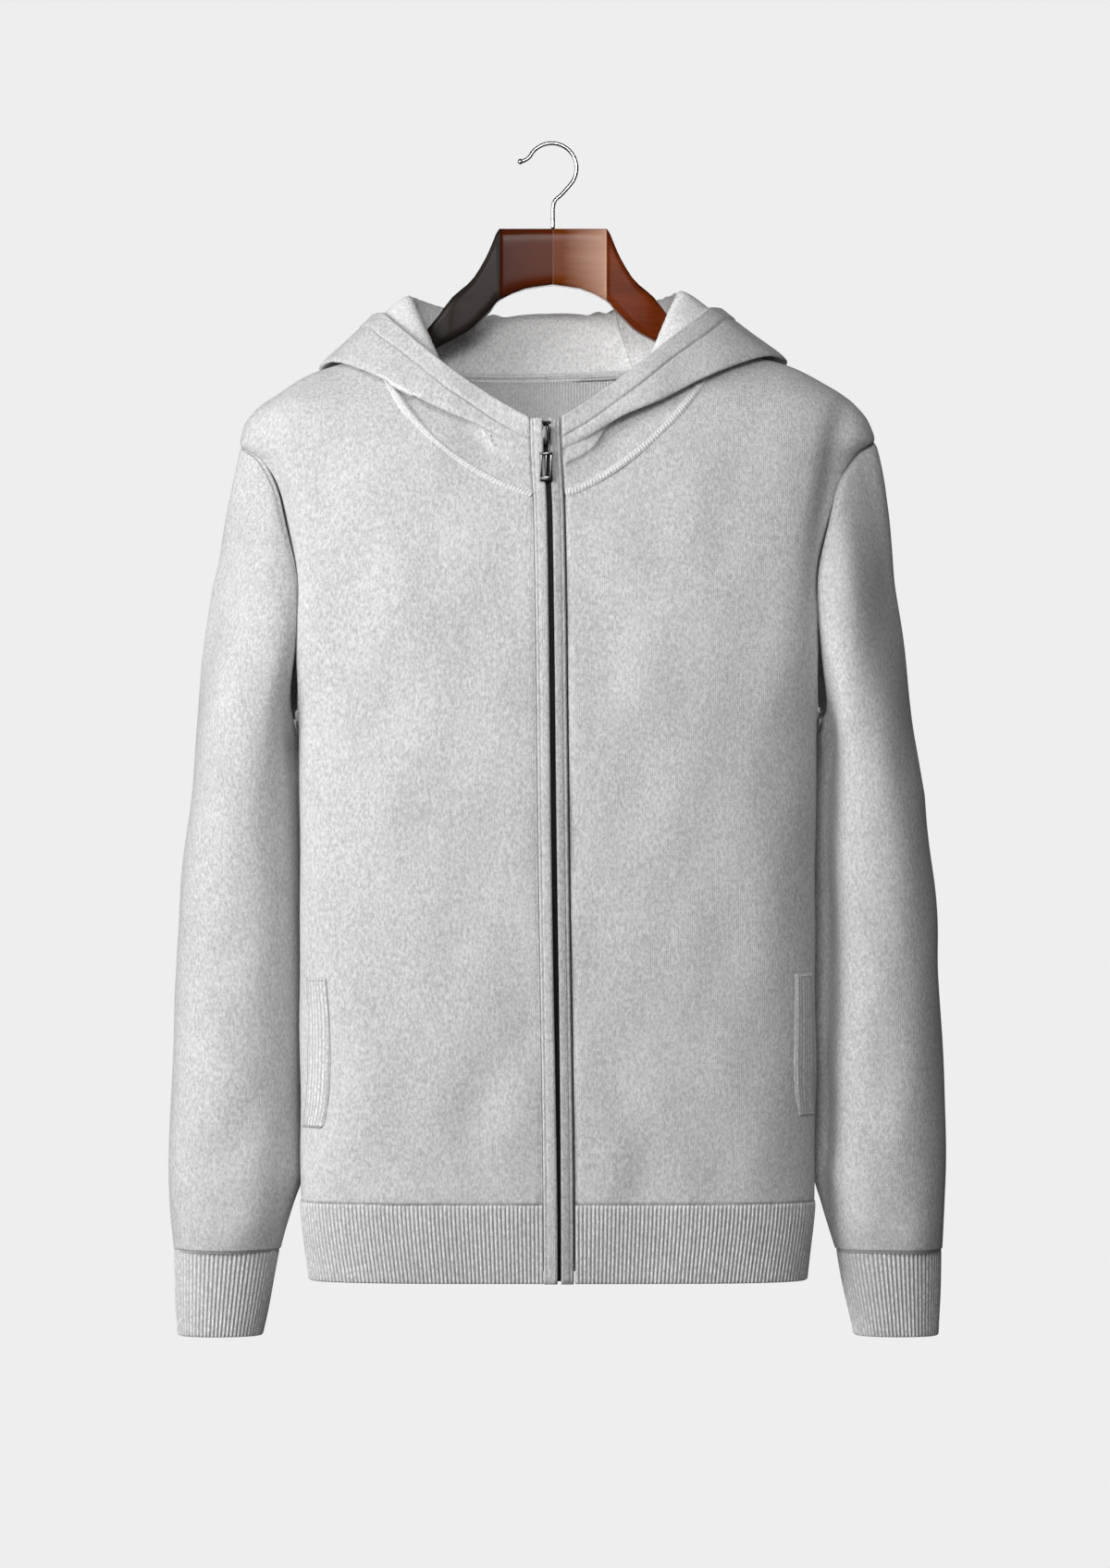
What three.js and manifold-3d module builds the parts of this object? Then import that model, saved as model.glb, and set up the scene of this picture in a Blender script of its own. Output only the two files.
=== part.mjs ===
// A knitted zip hoodie on its wooden hanger, in millimetres with +Z up.
// The origin is the inside top of the hook. The front faces -Y and the wearer's left is at +X.
import * as THREE from "three";
import { mergeVertices } from "three/addons/utils/BufferGeometryUtils.js";
import Module from "manifold-3d";

const wasm = await Module();
wasm.setup();

// Driving dimensions of the cut
const neckZ = -150; // the high point of the shoulder, below the hook
const bodyLength = 682;
const hemHeight = 58;
const shoulderDrop = 70;
const armholeDepth = 210;
const frontNeckDrop = 112;
const backNeckDrop = 18;
const halfNeck = 124;
const zipRise = 57; // the zip runs on up the front edge of the hood
const cloth = 2.4;
const seamGap = 0.3;
const placketWidth = 9;
const placketGap = 2.3; // from the zip's middle to each placket
const ribPitch = 3;
const ribHeight = 0.9;
const cuffHeight = 63.5;
const cuffRibs = 72;

const hemZ = neckZ - bodyLength;
const hemSeamZ = hemZ + hemHeight;
const tipZ = neckZ - shoulderDrop;
const underarmZ = tipZ - armholeDepth;
const frontNeckZ = neckZ - frontNeckDrop;
const zipTopZ = frontNeckZ + zipRise;
const cuffTopZ = -810.6;
const panelEdge = placketGap + placketWidth + seamGap;
const underarmClear = 0.7; // the sleeve's extra room where the armhole bends in

// Counts of quads in the pattern pieces
const count = { across: 12, side: 8, armhole: 9, frontNeck: 7, backNeck: 6, shoulder: 6, gusset: 3 };

// Level sections of the body: depths from the side seams to the front and the back, and how far
// the side wall is drawn in behind the front fold
const bodySections = [
  { drop: 0, halfWidth: 124, front: 16, back: 20, square: 2.2, tuck: 0 },
  { drop: 15, halfWidth: 176, front: 33, back: 34, square: 2.2, tuck: 0 },
  { drop: 29, halfWidth: 201, front: 43, back: 43, square: 2.3, tuck: 0 },
  { drop: 42, halfWidth: 220, front: 50, back: 49, square: 2.4, tuck: 0 },
  { drop: 56, halfWidth: 229, front: 55, back: 53, square: 2.4, tuck: 0 },
  { drop: 70, halfWidth: 232, front: 59, back: 56, square: 2.4, tuck: 0 },
  { drop: 80, halfWidth: 223, front: 62, back: 58, square: 2.5, tuck: 0 },
  { drop: 100, halfWidth: 217, front: 66, back: 61, square: 2.6, tuck: 0 },
  { drop: 130, halfWidth: 214, front: 70, back: 64, square: 2.8, tuck: 0 },
  { drop: 170, halfWidth: 207, front: 75, back: 67, square: 3, tuck: 0.02 },
  { drop: 215, halfWidth: 203, front: 79, back: 69, square: 3.1, tuck: 0.045 },
  { drop: 280, halfWidth: 191.5, front: 81, back: 70, square: 3.2, tuck: 0.065 },
  { drop: 400, halfWidth: 191, front: 80, back: 68, square: 3.3, tuck: 0.07 },
  { drop: 520, halfWidth: 191, front: 75, back: 63, square: 3.4, tuck: 0.065 },
  { drop: 624, halfWidth: 189.6, front: 66, back: 54, square: 3.6, tuck: 0.04 },
  { drop: 682, halfWidth: 183, front: 58, back: 48, square: 3.8, tuck: 0.03 },
];

// Level sections of the sleeve below the armpit: outer edge, width, depth and middle
const sleeveSections = [
  { z: -478, outer: 270.6, width: 80, depth: 118, y: 10 },
  { z: -532, outer: 276, width: 86, depth: 112, y: 9 },
  { z: -587, outer: 280, width: 90, depth: 106, y: 8 },
  { z: -641, outer: 282.2, width: 92.5, depth: 101, y: 6 },
  { z: -696, outer: 284.2, width: 94.5, depth: 96, y: 4 },
  { z: -750, outer: 286, width: 95, depth: 90, y: 2 },
  { z: -777, outer: 285.2, width: 89, depth: 85, y: 1 },
  { z: -796, outer: 283.6, width: 83.5, depth: 77, y: 0 },
  { z: -810, outer: 282.4, width: 79, depth: 68, y: 0 },
];
const cuffTop = { outer: 281.6, width: 76.5, depth: 60 };
const cuffEnd = { outer: 279, width: 61.5, depth: 47 };

// The hood as it lies: its cloth rises from the neck seam to a ridge, turns out and down to a fold,
// and comes back up to the edge of the face opening. Station 0 is the zip and 13 the middle back.
// Points are side, depth and height. ridgeTurn and foldTurn are the widths of the two turns.
const hoodStations = [
  { at: 0, ridge: [11.6, -67, -239], fold: [11.6, -66.4, -227],
    edge: [11.6, -65, -205], ridgeTurn: 3, foldTurn: 3 },
  { at: 1, ridge: [34, -63, -228], fold: [34, -65, -217],
    edge: [30, -60, -194], ridgeTurn: 3, foldTurn: 3 },
  { at: 2, ridge: [53, -51, -197], fold: [57, -64, -206],
    edge: [50, -53, -180], ridgeTurn: 5, foldTurn: 4 },
  { at: 3, ridge: [67, -41, -173], fold: [78, -60, -197],
    edge: [69, -48, -166], ridgeTurn: 7, foldTurn: 6 },
  { at: 4, ridge: [77, -30, -156], fold: [98, -54, -188],
    edge: [87, -39, -151], ridgeTurn: 8, foldTurn: 7 },
  { at: 5, ridge: [85, -18, -140], fold: [120, -47, -177],
    edge: [101, -29, -139], ridgeTurn: 9, foldTurn: 8 },
  { at: 6, ridge: [92, -6, -125], fold: [143, -33, -166],
    edge: [112, -18, -130], ridgeTurn: 9, foldTurn: 9 },
  { at: 7, ridge: [97, 6, -114], fold: [163, -12, -159.5],
    edge: [121, -2, -122], ridgeTurn: 9, foldTurn: 10 },
  { at: 8, ridge: [96, 22, -113], fold: [173, 15, -163],
    edge: [128, 16, -121.5], ridgeTurn: 9, foldTurn: 11 },
  { at: 9, ridge: [80, 40, -117], fold: [166, 62, -195],
    edge: [132, 52, -126], ridgeTurn: 9, foldTurn: 14 },
  { at: 10, ridge: [53, 50, -122], fold: [132, 98, -247],
    edge: [110, 88, -136], ridgeTurn: 9, foldTurn: 22 },
  { at: 11.5, ridge: [26, 54, -123.5], fold: [68, 116, -295],
    edge: [58, 110, -148], ridgeTurn: 9, foldTurn: 30 },
  { at: 13, ridge: [0, 55, -124], fold: [0, 120, -311], edge: [0, 116, -153], ridgeTurn: 9, foldTurn: 34 },
];
const hoodSteps = { stand: 4, ridge: 2, inner: 5, fold: 2, outer: 6 };
const hoodBand = { steps: 2, extra: 1.2 }; // the turned edge of the face opening is thicker

// How the garment hangs off true: the zip line and the sides drift, and the right shoulder is high
const hangRows = [
  { z: -874, zip: 4.6, side: 3.4, tilt: 0 },
  { z: -832, zip: 4.6, side: 3.4, tilt: 0 },
  { z: -505, zip: 0.6, side: 3.4, tilt: 1 },
  { z: -277, zip: -2.3, side: 3.4, tilt: 2 },
  { z: -205, zip: -5.2, side: 2, tilt: 2.2 },
  { z: -100, zip: -4.5, side: 0, tilt: 2.2 },
];

// Pocket welts, in columns and heights of a front panel
const welt = { columns: [8.5, 9, 9.8], top: -610, bottom: -718, thick: 1.5, clear: 0.7 };

const hanger = { jointGap: 0.3, under: 0.5 };
const hangerRows = [
  { x: 0, top: -62, bottom: -103, half: 11 },
  { x: 20, top: -62, bottom: -106, half: 11 },
  { x: 39, top: -62, bottom: -114.5, half: 11.5 },
  { x: 41.5, top: -65, bottom: -116.5, half: 11.5 },
  { x: 46, top: -76, bottom: -122, half: 11.5 },
  { x: 52, top: -88, bottom: -128, half: 11.5 },
  { x: 60, top: -100, bottom: -136, half: 11.5 },
  { x: 74, top: -112, bottom: -144, half: 11 },
  { x: 84, top: -125, bottom: -149, half: 8 },
  { x: 94, top: -137, bottom: -156, half: 6.5 },
  { x: 108, top: -152, bottom: -168, half: 5.5 },
  { x: 119, top: -157.5, bottom: -175, half: 5.5 },
  { x: 130, top: -154, bottom: -182, half: 10 },
  { x: 145, top: -156, bottom: -192, half: 17 },
  { x: 165, top: -160, bottom: -204, half: 20 },
  { x: 185, top: -166, bottom: -216, half: 21 },
  { x: 203, top: -172, bottom: -226, half: 20 },
  { x: 209, top: -178, bottom: -230, half: 16 },
  { x: 213.5, top: -192, bottom: -228, half: 8 },
];

const hook = { wire: 1.5, radius: 18.3, middleX: -1, middleZ: -16.8, stemEnd: -61.7, ball: 2.1 };

const slider = { z: -218, width: 7.6, height: 12, plate: 1.8, clear: 1.9, post: [2.6, 2.2, 9] };
const bail = { width: 2.2, height: 9, band: 1.3, inside: 2.4, sunk: 0.4 };
const pull = { width: 9.4, length: 31, bar: 1.5, thick: 1.4, tabLength: 22, play: 0.3 };
const pullNeck = { half: 2.6, side: 1.2, sunk: 1 };
const pullFrame = { side: 2, top: 2.2, foot: 4 };

const knitGrey = 0xc4c4c2;
const knit = () => new THREE.MeshStandardMaterial({ color: knitGrey, roughness: 0.95, metalness: 0 });
const rib = () => new THREE.MeshStandardMaterial({ color: 0xbdbdba, roughness: 0.95, metalness: 0 });
const wood = () => new THREE.MeshStandardMaterial({ color: 0x6b2c12, roughness: 0.25, metalness: 0 });
const chrome = () => new THREE.MeshStandardMaterial({ color: 0xd9d9d9, roughness: 0.15, metalness: 1 });
const darkMetal = () => new THREE.MeshStandardMaterial({ color: 0x2b2b2e, roughness: 0.25, metalness: 1 });
const tape = () => new THREE.MeshStandardMaterial({ color: 0x3a3a3a, roughness: 0.8, metalness: 0 });

// A smooth curve through one named column of a table, which never swings past its rows
function column(rows, key, read) {
  const xs = rows.map((row) => row[key]);
  const ys = rows.map(read);
  const last = xs.length - 1;
  const secants = [];
  for (let i = 0; i < last; i++) secants.push((ys[i + 1] - ys[i]) / (xs[i + 1] - xs[i]));
  const slopes = xs.map((_, i) => {
    if (i === 0) return secants[0];
    if (i === last) return secants[last - 1];
    const before = secants[i - 1];
    const after = secants[i];
    return before * after <= 0 ? 0 : (2 * before * after) / (before + after);
  });
  return (x) => {
    let i = 0;
    while (i < last - 1 && x > xs[i + 1]) i++;
    const step = xs[i + 1] - xs[i];
    const t = THREE.MathUtils.clamp((x - xs[i]) / step, 0, 1);
    const rise = t * t * (3 - 2 * t);
    const lift = t * (1 - t) * ((1 - t) * slopes[i] - t * slopes[i + 1]) * step;
    return ys[i] * (1 - rise) + ys[i + 1] * rise + lift;
  };
}

const named = (rows, key, name) => column(rows, key, (row) => row[name]);

function pointColumn(rows, key, name) {
  const parts = [0, 1, 2].map((axis) => column(rows, key, (row) => row[name][axis]));
  return (t) => new THREE.Vector3(...parts.map((part) => part(t)));
}

const body = Object.fromEntries(
  ["halfWidth", "front", "back", "square", "tuck"].map((name) => {
    const curve = named(bodySections, "drop", name);
    return [name, (z) => curve(neckZ - z)];
  }),
);

// A point of the body's form on the wearer's left. The angle is 0 on the side, -90 degrees at the
// centre front and 90 degrees at the centre back.
function formPoint(angle, z) {
  const power = body.square(z);
  const c = Math.max(0, Math.cos(angle));
  const s = Math.abs(Math.sin(angle));
  const r = (c ** power + s ** power) ** (-1 / power);
  const y = angle < 0 ? -body.front(z) * r * s : body.back(z) * r * s;
  const drawnIn = 1 - body.tuck(z) * THREE.MathUtils.smoothstep(y, -45, 60);
  return new THREE.Vector3(body.halfWidth(z) * r * c * drawnIn, y, z);
}

function surfaceNormal(surface, u, v, du, dv) {
  const alongU = surface(u + du, v).sub(surface(u - du, v));
  const alongV = surface(u, v + dv).sub(surface(u, v - dv));
  return alongU.cross(alongV).normalize();
}

// Distances round one level of the form, from the centre line to the side seam
function levelArc(face, z) {
  const steps = 60;
  const sign = face === "front" ? -1 : 1;
  const marks = [];
  let length = 0;
  let before = null;
  for (let i = 0; i <= steps; i++) {
    const angle = sign * (Math.PI / 2) * (1 - i / steps);
    const point = formPoint(angle, z);
    if (before) length += point.distanceTo(before);
    marks.push({ angle, length, point });
    before = point;
  }
  return marks;
}

function markAt(marks, value, read) {
  let i = 1;
  while (i < marks.length - 1 && value > read(marks[i])) i++;
  const from = read(marks[i - 1]);
  const share = THREE.MathUtils.clamp((value - from) / (read(marks[i]) - from || 1), 0, 1);
  const mix = (name) => THREE.MathUtils.lerp(marks[i - 1][name], marks[i][name], share);
  return { angle: mix("angle"), length: mix("length") };
}

const girth = (face, z) => levelArc(face, z).at(-1).length;
const acrossAtX = (face, x, z) => markAt(levelArc(face, z), x, (mark) => mark.point.x).length;
const acrossAtDepth = (face, depth, z) =>
  markAt(levelArc(face, z), -depth, (mark) => -Math.abs(mark.point.y)).length;

// A vertex of a body piece, from its place in the flat pattern: across from the centre line, and z
function bodyVertex(face, across, z) {
  const { angle } = markAt(levelArc(face, z), across, (mark) => mark.length);
  const held = THREE.MathUtils.clamp(angle, -1.56, 1.56);
  const inside = Math.min(neckZ - 0.3, Math.max(hemZ + 0.3, z));
  const normal = surfaceNormal(formPoint, held, inside, 0.01, 0.3);
  if (Math.abs(angle) > 1.56) normal.setX(0).normalize();
  return { point: formPoint(angle, z), normal };
}

const steps = (n, make) => Array.from({ length: n + 1 }, (_, i) => make(i / n, i));
const spot = (across, z) => new THREE.Vector2(across, z);

// Even spacing along a curve of the pattern
function evenly(n, curve) {
  const fine = steps(200, curve);
  const lengths = [0];
  for (let i = 1; i < fine.length; i++) lengths.push(lengths[i - 1] + fine[i].distanceTo(fine[i - 1]));
  return steps(n, (share) => {
    const target = share * lengths.at(-1);
    let i = 1;
    while (i < fine.length - 1 && lengths[i] < target) i++;
    const t = (target - lengths[i - 1]) / (lengths[i] - lengths[i - 1] || 1);
    return fine[i - 1].clone().lerp(fine[i], THREE.MathUtils.clamp(t, 0, 1));
  });
}

// The seam lines of the pattern
function necklineSpot(face, share) {
  const drop = face === "front" ? frontNeckDrop : backNeckDrop;
  const power = face === "front" ? 1.5 : 2.4;
  const nearest = face === "front" ? panelEdge : 0;
  const turn = share * (Math.PI / 2);
  const x = Math.max(nearest, halfNeck * Math.sin(turn) ** (2 / power));
  const z = neckZ - drop * Math.cos(turn) ** (2 / power);
  return x >= halfNeck - 1e-6 ? spot(girth(face, neckZ), neckZ) : spot(acrossAtX(face, x, z), z);
}

function armholeSpot(face, share) {
  const turn = (1 - share) * Math.PI; // 0 at the tip of the shoulder and 180 degrees at the underarm
  const z = tipZ - (armholeDepth * (1 - Math.cos(turn))) / 2;
  const depth = (face === "front" ? 46 : 44) * Math.sin(turn) * (1 - 0.25 * Math.cos(turn));
  return spot(acrossAtDepth(face, Math.max(0, depth), z), z);
}

function shoulderSpot(face, share) {
  const z = neckZ - shoulderDrop * share;
  return spot(girth(face, z), z);
}

function necklineStart(face) {
  if (face === "back") return 0;
  return (2 / Math.PI) * Math.asin((panelEdge / halfNeck) ** (1.5 / 2));
}

const neckline = Object.fromEntries(
  ["front", "back"].map((face) => {
    const start = necklineStart(face);
    const n = face === "front" ? count.frontNeck : count.backNeck;
    return [face, evenly(n, (share) => necklineSpot(face, start + (1 - start) * share))];
  }),
);
const armhole = Object.fromEntries(
  ["front", "back"].map((face) => [face, evenly(count.armhole, (share) => armholeSpot(face, share))]),
);

// Fills a pattern piece between its four edges: each edge is a list of spots
function patch(bottom, top, inner, outer) {
  const columns = bottom.length - 1;
  const rows = inner.length - 1;
  return inner.map((left, r) =>
    bottom.map((low, c) => {
      const u = c / columns;
      const v = r / rows;
      const blend = spot(0, 0);
      blend.addScaledVector(low, 1 - v).addScaledVector(top[c], v);
      blend.addScaledVector(left, 1 - u).addScaledVector(outer[r], u);
      blend.addScaledVector(bottom[0], -(1 - u) * (1 - v)).addScaledVector(bottom[columns], -u * (1 - v));
      return blend.addScaledVector(top[0], -(1 - u) * v).addScaledVector(top[columns], -u * v);
    }),
  );
}

const sideLine = (face) =>
  steps(count.side, (share) => {
    const z = THREE.MathUtils.lerp(hemSeamZ, underarmZ, share);
    return spot(girth(face, z), z);
  });

const outerEdge = (face) => [...sideLine(face), ...armhole[face].slice(1)];
const onForm = (face, grid) => grid.map((row) => row.map((at) => bodyVertex(face, at.x, at.y)));
const mirrored = ({ point, normal }) => ({
  point: point.clone().setX(-point.x),
  normal: normal.clone().setX(-normal.x),
});

// Pulls the edges of a piece back from its seams
function trim(grid, distance = seamGap / 2) {
  const rows = grid.length - 1;
  const columns = grid[0].length - 1;
  const towards = (r, c, r2, c2) =>
    grid[r2][c2].point.clone().sub(grid[r][c].point).setLength(distance);
  const moves = [];
  for (let r = 0; r <= rows; r++) {
    for (let c = 0; c <= columns; c++) {
      const move = new THREE.Vector3();
      if (r === 0) move.add(towards(r, c, 1, c));
      if (r === rows) move.add(towards(r, c, rows - 1, c));
      if (c === 0) move.add(towards(r, c, r, 1));
      if (c === columns) move.add(towards(r, c, r, columns - 1));
      moves.push([grid[r][c].point, move]);
    }
  }
  for (const [point, move] of moves) point.add(move);
  return grid;
}

// Every second vertex of the front's shoulder seam lies on the line between its neighbours, so that
// the seam is the same line on the front and the back
function frontPanelGrid() {
  const bottom = steps(count.across, (share) => {
    return spot(THREE.MathUtils.lerp(panelEdge, girth("front", hemSeamZ), share), hemSeamZ);
  });
  const line = evenly(count.across, (share) => shoulderSpot("front", share));
  const rowsBelow = count.side + count.armhole - count.frontNeck;
  const centre = steps(rowsBelow, (share) => {
    return spot(panelEdge, THREE.MathUtils.lerp(hemSeamZ, frontNeckZ + 2, share));
  });
  centre[rowsBelow] = neckline.front[0];
  const inner = [...centre, ...neckline.front.slice(1)];
  const grid = onForm("front", patch(bottom, line, inner, outerEdge("front")));
  const top = grid.at(-1);
  for (let c = 1; c < count.across; c += 2) {
    top[c].point.copy(top[c - 1].point).lerp(top[c + 1].point, 0.5);
    top[c].normal.copy(top[c - 1].normal).add(top[c + 1].normal).normalize();
  }
  return grid;
}

function backPanelGrid() {
  const columns = count.backNeck + count.shoulder;
  const bottom = steps(columns, (share) => spot(girth("back", hemSeamZ) * share, hemSeamZ));
  const line = evenly(count.across, (share) => shoulderSpot("back", share));
  const top = [...neckline.back, ...line.filter((_, i) => i > 0 && i % 2 === 0)];
  const rows = count.side + count.armhole;
  const inner = steps(rows, (share) => {
    return spot(0, THREE.MathUtils.lerp(hemSeamZ, neckZ - backNeckDrop, share));
  });
  const half = onForm("back", patch(bottom, top, inner, outerEdge("back")));
  return half.map((row) => [...row.slice(1).reverse().map(mirrored), ...row]);
}

// How far a point of the garment has drifted from the upright, even pattern
const zipDrift = named(hangRows, "z", "zip");
const sideDrift = named(hangRows, "z", "side");
const tiltOf = named(hangRows, "z", "tilt");
function hang(point) {
  const z = THREE.MathUtils.clamp(point.z, hangRows[0].z, hangRows.at(-1).z);
  const outwards = THREE.MathUtils.smoothstep(Math.abs(point.x), 0, 190);
  const neck = Math.sin(Math.PI * Math.min(1, Math.abs(point.x) / 200)) ** 2;
  const neckDrift = -4 * neck * THREE.MathUtils.smoothstep(z, -330, -262);
  const drift = THREE.MathUtils.lerp(zipDrift(z), sideDrift(z), outwards) + neckDrift;
  const lift = tiltOf(z) * Math.tanh(point.x / 90);
  return new THREE.Vector3(point.x + drift, point.y, point.z + lift);
}

// Joins lists of points into one closed body. Each row is a loop or a line of points.
class Skin {
  constructor() {
    this.positions = [];
    this.faces = [];
  }
  add(points) {
    return points.map((point) => this.positions.push(point) - 1);
  }
  // A strip of triangles between two lines, which may have different numbers of points
  strip(a, b) {
    let i = 0;
    let j = 0;
    while (i < a.length - 1 || j < b.length - 1) {
      const stepA = j === b.length - 1 || (i + 1) / (a.length - 1) <= (j + 1) / (b.length - 1);
      if (stepA && i < a.length - 1) this.faces.push([a[i], a[++i], b[j]]);
      else this.faces.push([a[i], b[j + 1], b[j++]]);
    }
  }
  fan(loop, flip) {
    const flat = loop.map((index) => this.positions[index]);
    const middle = new THREE.Vector3();
    for (const point of flat) middle.addScaledVector(point, 1 / flat.length);
    const centre = this.add([middle])[0];
    loop.forEach((index, i) => {
      const next = loop[(i + 1) % loop.length];
      this.faces.push(flip ? [centre, next, index] : [centre, index, next]);
    });
  }
  geometry(place = (point) => point) {
    const placed = this.positions.map(place);
    let volume = 0;
    for (const [a, b, c] of this.faces) volume += placed[a].dot(placed[b].clone().cross(placed[c]));
    const index = this.faces.flatMap(([a, b, c]) => (volume < 0 ? [a, c, b] : [a, b, c]));
    const made = new THREE.BufferGeometry();
    const numbers = placed.flatMap((point) => point.toArray());
    made.setAttribute("position", new THREE.Float32BufferAttribute(numbers, 3));
    made.setIndex(index);
    made.computeVertexNormals();
    return made;
  }
}

const closeLoop = (line) => [...line, line[0]];

// A wall of cloth between outer and inner rows of points. Loops go all the way round a tube.
function wall(outerRows, innerRows, loops, place = hang) {
  const skin = new Skin();
  const ends = loops ? closeLoop : (line) => line;
  const outer = outerRows.map((row) => ends(skin.add(row)));
  const inner = innerRows.map((row) => ends(skin.add(row)));
  for (let r = 0; r < outer.length - 1; r++) {
    skin.strip(outer[r], outer[r + 1]);
    skin.strip(inner[r + 1], inner[r]);
  }
  skin.strip(inner[0], outer[0]);
  skin.strip(outer.at(-1), inner.at(-1));
  if (!loops) {
    skin.strip(outer.map((row) => row[0]), inner.map((row) => row[0]));
    skin.strip(inner.map((row) => row.at(-1)), outer.map((row) => row.at(-1)));
  }
  return skin.geometry(place);
}

const lift = ({ point, normal }, distance) => point.clone().addScaledVector(normal, distance);
const liftRows = (grid, distance) => grid.map((row) => row.map((vertex) => lift(vertex, distance)));
const clothWall = (grid, loops = false) => wall(liftRows(grid, 0), liftRows(grid, -cloth), loops);

const model = new THREE.Group();
function addMesh(name, geometry, material) {
  const mesh = new THREE.Mesh(geometry, material);
  mesh.name = name;
  model.add(mesh);
}

const sides = [
  { name: "left", sign: 1 },
  { name: "right", sign: -1 },
];
const onSide = (sign, grid) => (sign > 0 ? grid : grid.map((row) => row.map(mirrored)));

// Fronts and back
const frontGrid = frontPanelGrid();
const backGrid = backPanelGrid();
for (const { name, sign } of sides) {
  addMesh(`front_${name}`, clothWall(onSide(sign, trim(frontPanelGrid()))), knit());
}
addMesh("back", clothWall(trim(backPanelGrid())), knit());

// Ribbed bands: the ribs are raised in the outer points, over a plain and coarser inside
function ribbedBand(ribs, levels, vertexAt, loops) {
  const outer = levels.map((level) => {
    const row = steps(ribs * 2, (share, i) => lift(vertexAt(share, level), i % 2 ? ribHeight : 0));
    return loops ? row.slice(0, -1) : row;
  });
  const inner = levels.map((level) => {
    const row = steps(Math.round(ribs / 4), (share) => lift(vertexAt(share, level), -cloth));
    return loops ? row.slice(0, -1) : row;
  });
  return wall(outer, inner, loops);
}

const hemLevels = [hemZ, hemSeamZ - seamGap / 2];
for (const { name, sign } of sides) {
  const edge = girth("front", hemSeamZ) - panelEdge;
  const vertexAt = (share, z) => {
    const far = girth("front", z) - seamGap / 2;
    const vertex = bodyVertex("front", THREE.MathUtils.lerp(panelEdge, far, share), z);
    return sign > 0 ? vertex : mirrored(vertex);
  };
  addMesh(`hem_${name}`, ribbedBand(Math.round(edge / ribPitch), hemLevels, vertexAt, false), rib());
}
addMesh(
  "hem_back",
  ribbedBand(
    Math.round((2 * girth("back", hemSeamZ)) / ribPitch),
    hemLevels,
    (share, z) => {
      const across = (2 * share - 1) * (girth("back", z) - seamGap / 2);
      const vertex = bodyVertex("back", Math.abs(across), z);
      return across < 0 ? mirrored(vertex) : vertex;
    },
    false,
  ),
  rib(),
);

// Sleeves: from the points of the armhole to level sections
const sleeve = Object.fromEntries(
  ["outer", "width", "depth", "y"].map((name) => {
    const rows = [...sleeveSections].reverse();
    return [name, named(rows, "z", name)];
  }),
);

// The turn is 0 on the outside of the arm, a quarter at the front and a half against the body
function ovalPoint({ outer, width, depth, y }, turn, z) {
  const power = 2.3;
  const c = Math.cos(turn);
  const s = Math.sin(turn);
  const r = (Math.abs(c) ** power + Math.abs(s) ** power) ** (-1 / power);
  return new THREE.Vector3(outer - width / 2 + (width / 2) * r * c, y - (depth / 2) * r * s, z);
}

function sleeveLevel(turn, z) {
  const { outer, width, depth, y } = sleeve;
  return ovalPoint({ outer: outer(z), width: width(z), depth: depth(z), y: y(z) }, turn, z);
}

function armholeLoop() {
  const half = (face) => armhole[face].map((at) => bodyVertex(face, at.x, at.y).point);
  return [...half("front").reverse(), ...half("back").slice(1, -1)];
}

function sleeveRows() {
  const loop = armholeLoop();
  const firstZ = sleeveSections[0].z;
  const turns = loop.map((_, i) => (2 * Math.PI * i) / loop.length);
  const capRows = 6;
  const rows = [];
  for (let k = 0; k < capRows; k++) {
    const t = k / capRows;
    const row = loop.map((start, i) => {
      const turn = turns[i];
      const end = sleeveLevel(turn, firstZ);
      const reach = start.distanceTo(end);
      const away = new THREE.Vector3(0.42 - 0.14 * Math.cos(turn), -0.42 * Math.sin(turn), -0.9);
      away.setLength(reach);
      const down = sleeveLevel(turn, firstZ - 10).sub(end).setLength(reach);
      const curve = new THREE.CubicBezierCurve3(
        start,
        start.clone().addScaledVector(away, 1 / 3),
        end.clone().addScaledVector(down, -1 / 3),
        end,
      );
      return curve.getPoint(t);
    });
    rows.push(row);
  }
  for (const { z } of sleeveSections) rows.push(turns.map((turn) => sleeveLevel(turn, z)));
  return rows;
}

function withNormals(rows) {
  const last = rows.length - 1;
  return rows.map((row, r) =>
    row.map((point, c) => {
      const around = row[(c + 1) % row.length].clone().sub(row[(c + row.length - 1) % row.length]);
      const along = rows[Math.min(last, r + 1)][c].clone().sub(rows[Math.max(0, r - 1)][c]);
      return { point, normal: around.cross(along).normalize() };
    }),
  );
}

function sleeveGrid() {
  const grid = withNormals(sleeveRows());
  grid[0].forEach(({ point }, c) => {
    const clear = underarmClear * Math.max(0, -Math.cos((2 * Math.PI * c) / grid[0].length));
    point.add(grid[1][c].point.clone().sub(point).setLength(seamGap / 2 + clear));
    point.x += clear;
  });
  return grid;
}

const cuffAt = (share, level) => {
  const mix = (name) => THREE.MathUtils.lerp(cuffTop[name], cuffEnd[name], level);
  const size = { outer: mix("outer"), width: mix("width"), depth: mix("depth"), y: 0 };
  const surface = (turn, at) => ovalPoint(size, turn, cuffTopZ - cuffHeight * at);
  const turn = 2 * Math.PI * share;
  const normal = surfaceNormal(surface, turn, level, 0.01, 0.01);
  const outwards = surface(turn, level).sub(surface(turn + Math.PI, level));
  if (normal.dot(outwards) < 0) normal.negate();
  return { point: surface(turn, level), normal };
};

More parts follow.
